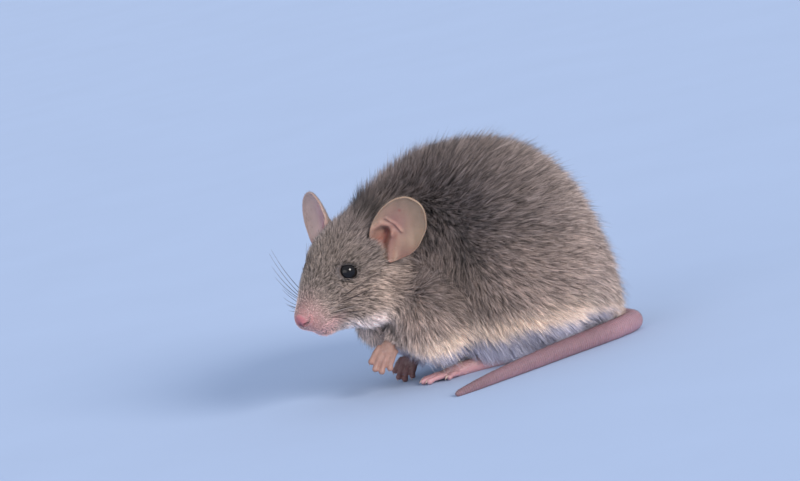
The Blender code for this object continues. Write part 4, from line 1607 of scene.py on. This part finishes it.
class MOUSE_OT_down(bpy.types.Operator):
    """Makes the fine hairs of ears, paws and tail"""

    bl_idname = "mouse.down"
    bl_label = "Fine hairs"

    def execute(self, context):
        rng = np.random.default_rng(DOWN_SEED)
        for hand, name in HANDS.items():
            self.on_ear(hand, name, rng)
        for (points, faces), (name, heel, knuckle) in zip(body().paws, PAWS):
            self.on_paw(points, faces, name, np.array(heel), np.array(knuckle), rng)
        self.on_tail(*body().tail, rng)
        return {"FINISHED"}

    def on_ear(self, hand, name, rng):
        points, faces, inside, wide, high = body().ears[hand]
        way = np.tile(ear_axes(hand)[2], (len(points), 1))
        middle = np.hypot(wide / 5.2, (high - EAR_MIDDLE) / 6.6)
        density = 26 * ease(0.45, 0.95, middle) * (0.35 + 0.65 * (1 - inside)) * ease(-0.5, 1, high)

        def unwrap(roots):
            wide, high = ear_terms(roots, hand)
            return np.stack([0.5 + wide / 14, high / 14], -1)

        form = points, faces, point_normals(points, faces)
        measures = density, np.full(len(points), 0.55), 0.028, 62
        down_piece("ear_" + name, form, way, measures, (140, 122, 112), unwrap, rng)

    def on_paw(self, points, faces, name, heel, knuckle, rng):
        normals = point_normals(points, faces)
        size = np.linalg.norm(knuckle - heel)
        run = (knuckle - heel) / size
        side = np.cross(run, (0, 0, 1.0))
        gone = (points - heel) @ run
        density = 40 * ease(-0.2, 0.5, normals[:, 2]) * ease(size + 3.0, size - 0.5, gone)
        length = np.interp(gone, (-2, size, size + 3), (0.9, 0.5, 0.3))
        way = np.tile(run, (len(points), 1))

        def unwrap(roots):
            return np.stack([0.5 + (roots - heel) @ side / 9, ((roots - heel) @ run + 5) / (size + 11)], -1)

        measures = density, length, 0.030, 66
        down_piece(name, (points, faces, normals), way, measures, (184, 164, 156), unwrap, rng)

    def on_tail(self, points, faces, along, length, rng):
        normals = point_normals(points, faces)
        heading = unit(np.gradient(spline(TAIL_ROUTE, 40)[:, :3], axis=0))
        way = along_path(along, np.linspace(0, length, len(heading)), heading)
        density = np.interp(along, (0, 6, length), (30, 12, 14)) * ease(-0.7, 0.0, normals[:, 2])
        size = np.interp(along, (0, 5, length), (1.3, 0.62, 0.5))

        def unwrap(roots):
            return np.stack([(roots[:, 0] + 14) / 46, (roots[:, 1] + 28) / 32], -1)

        measures = density, size, 0.030, 70
        down_piece("tail", (points, faces, normals), way, measures, (120, 104, 100), unwrap, rng)


class MOUSE_OT_whiskers(bpy.types.Operator):
    """Makes the whiskers of the muzzle and the few above the eyes"""

    bl_idname = "mouse.whiskers"
    bl_label = "Whiskers"

    def execute(self, context):
        rng = np.random.default_rng(WHISKER_SEED)
        longest = context.scene.mouse_skin.whisker_length / MM
        shape = body()
        surface = BVHTree.FromPolygons(shape.skin.tolist(), shape.skin_faces.tolist())
        forms, chances, ways = [], [], []
        steps, corners = 14, 6

        def whisker(place, aim, sag, length, thick, pale):
            near = surface.find_nearest(Vector(place))
            root = np.array(near[0]) - np.array(near[1]) * 0.15
            t = np.linspace(0, 1, steps)[:, None]
            line = above(0.3, root + aim * length * t + sag * length * t**2)
            sizes = thick * (1 - t[:, 0]) ** 0.8 + 0.012
            forms.append(tube(line, sizes, corners, up=(0.3, 0.1, 0.9)))
            ways.append(np.append(np.repeat(t[:, 0], corners), (0, 1)))
            chances.append(np.full(steps * corners + 2, pale))

        for hand in HANDS:
            left_out, shortened, thickened = WHISKER_SIDES[hand]
            for row, column in np.ndindex(5, 5):
                back = 4.6 + 0.75 * column + rng.normal(0, 0.12)
                up = 0.7 - 0.66 * row - 0.10 * column + rng.normal(0, 0.10)
                length = longest * (0.38 + 0.155 * column) * rng.uniform(0.82, 1.0) * shortened
                if rng.random() < left_out:
                    continue
                if hand > 0:
                    aim = head_direction(0.95 - 0.08 * row, 0.66 + 0.06 * row, 0.54 - 0.18 * row)
                    sag = head_direction(0.70, -0.12, -0.50) * 0.24
                else:
                    lift = 0.36 - 0.20 * row + rng.normal(0, 0.08)
                    aim = head_direction(0.10 + 0.06 * column, -0.9, lift)
                    sag = head_direction(0.9, 0, 0.15) * 0.16
                thick = rng.uniform(0.036, 0.048) * thickened
                whisker(head_place(back, hand * 3.2, up), aim, sag, length, thick, rng.random())
            for root in EYE_WHISKERS:
                aim, sag = head_direction(0.62, hand * 0.45, 0.8), head_direction(1, 0, 0) * 0.3
                whisker(head_place(*on_side(root, hand)), aim, sag, 3.4, 0.028, 0.2)
        points, faces = joined(forms)
        numbers = {"along": np.concatenate(ways), "chance": np.concatenate(chances)}
        piece("whiskers", points, faces, whisker_material(), (), numbers)
        return {"FINISHED"}


# ---------------------------------------------------------------- the stage

# Level directions to the right and towards the camera, and the place it looks at in the animal's terms.
RIGHT, NEAR, UP = Vector((0.961, -0.276, 0.0)), Vector((-0.276, -0.961, 0.0)), Vector((0, 0, 1))
LOOKED_AT = RIGHT * -9.0 + NEAR * 5.0 + UP * 26.2
# The cosine and sine of how far the camera looks down, and of how far it leans to one side.
DOWNWARDS, LEANING = (0.990, 0.139), (0.976, 0.216)
USUAL_LENS, CAMERA_DISTANCE = 200.0, 0.8
FLOOR_REACH = 6.0
SKY_COLOUR = (0.50, 0.56, 0.66, 1.0)


class MOUSE_OT_stage(bpy.types.Operator):
    """Makes the floor, the lights and the camera"""

    bl_idname = "mouse.stage"
    bl_label = "Stage"

    def execute(self, context):
        settings = context.scene.mouse_stage
        scene = context.scene
        floor_mesh = bpy.data.meshes.new("floor")
        corners = [(x * FLOOR_REACH, y * FLOOR_REACH, 0) for x, y in ((-1, -1), (1, -1), (1, 1), (-1, 1))]
        floor_mesh.from_pydata(corners, [], [(0, 1, 2, 3)])
        floor = bpy.data.objects.new("floor", floor_mesh)
        scene.collection.objects.link(floor)
        sheet = Sheet("floor")
        colour = tuple(settings.floor_colour)
        darker, lighter = (tuple(min(part * share, 1) for part in colour) for share in (0.97, 1.03))
        tone = sheet.mixed(sheet.noise(30.0, 4.0), darker, lighter)
        floor_mesh.materials.append(sheet.finished(base_color=tone, roughness=0.9, specular_ior_level=0.2))

        world = bpy.data.worlds.new("sky")
        world.use_nodes = True
        background = world.node_tree.nodes["Background"]
        background.inputs["Color"].default_value = SKY_COLOUR
        background.inputs["Strength"].default_value = settings.sky_strength
        scene.world = world
        scene.view_settings.view_transform = "Standard"

        for name, direction, strength, spread, colour in (
            ("key", RIGHT * 0.56 + UP * 0.42 + NEAR * 0.80, settings.key_strength, 22, (1.0, 0.94, 0.88)),
            ("fill", NEAR * 0.80 - RIGHT * 0.58 + UP * 0.14, settings.fill_strength, 50, (1.0, 0.95, 0.94)),
        ):
            light = bpy.data.lights.new(name, "SUN")
            light.energy, light.angle, light.color = strength, math.radians(spread), colour
            made = bpy.data.objects.new(name, light)
            made.matrix_world = direction.to_track_quat("Z", "Y").to_matrix().to_4x4()
            scene.collection.objects.link(made)

        camera_data = bpy.data.cameras.new("camera")
        camera_data.lens, camera_data.sensor_width = settings.lens, 36.0
        camera_data.clip_start, camera_data.clip_end = 0.01, 20.0
        camera = bpy.data.objects.new("camera", camera_data)
        towards = (NEAR * DOWNWARDS[0] + UP * DOWNWARDS[1]).normalized()
        level_up = UP * DOWNWARDS[0] - NEAR * DOWNWARDS[1]
        camera_right = RIGHT * LEANING[0] - level_up * LEANING[1]
        camera_up = RIGHT * LEANING[1] + level_up * LEANING[0]
        turn = Matrix((camera_right, camera_up, towards)).transposed().to_4x4()
        place = (LOOKED_AT - Vector(SHIFT)) * MM + towards * CAMERA_DISTANCE * settings.lens / USUAL_LENS
        camera.matrix_world = Matrix.Translation(place) @ turn
        scene.collection.objects.link(camera)
        scene.camera = camera
        return {"FINISHED"}


class MOUSE_PT_panel(bpy.types.Panel):
    """Lists the settings and the operators"""

    bl_label = "House Mouse"
    bl_idname = "MOUSE_PT_panel"
    bl_space_type = "VIEW_3D"
    bl_region_type = "UI"
    bl_category = "Mouse"

    def draw(self, context):
        layout = self.layout
        scene = context.scene
        for settings in (scene.mouse_coat, scene.mouse_skin, scene.mouse_stage):
            box = layout.box()
            for name in settings.__annotations__:
                box.prop(settings, name)
        for operator in OPERATORS:
            layout.operator(operator.bl_idname)


OPERATORS = (
    MOUSE_OT_stage,
    MOUSE_OT_skin,
    MOUSE_OT_eyes,
    MOUSE_OT_claws,
    MOUSE_OT_coat,
    MOUSE_OT_down,
    MOUSE_OT_whiskers,
)
GROUPS = {"mouse_coat": MouseCoatSettings, "mouse_skin": MouseSkinSettings, "mouse_stage": MouseStageSettings}


def register():
    """Registers the settings, the operators and the panel."""
    for group in GROUPS.values():
        bpy.utils.register_class(group)
    for operator in (*OPERATORS, MOUSE_PT_panel):
        bpy.utils.register_class(operator)
    for name, group in GROUPS.items():
        setattr(bpy.types.Scene, name, bpy.props.PointerProperty(type=group))


def unregister():
    """Takes away what register adds."""
    for name in GROUPS:
        delattr(bpy.types.Scene, name)
    for operator in (*OPERATORS, MOUSE_PT_panel):
        bpy.utils.unregister_class(operator)
    for group in GROUPS.values():
        bpy.utils.unregister_class(group)


def main():
    """Builds the whole model."""
    register()
    bpy.ops.mouse.stage()
    bpy.ops.mouse.skin()
    bpy.ops.mouse.eyes()
    bpy.ops.mouse.claws()
    bpy.ops.mouse.coat()
    bpy.ops.mouse.down()
    bpy.ops.mouse.whiskers()


if __name__ == "__main__":
    main()
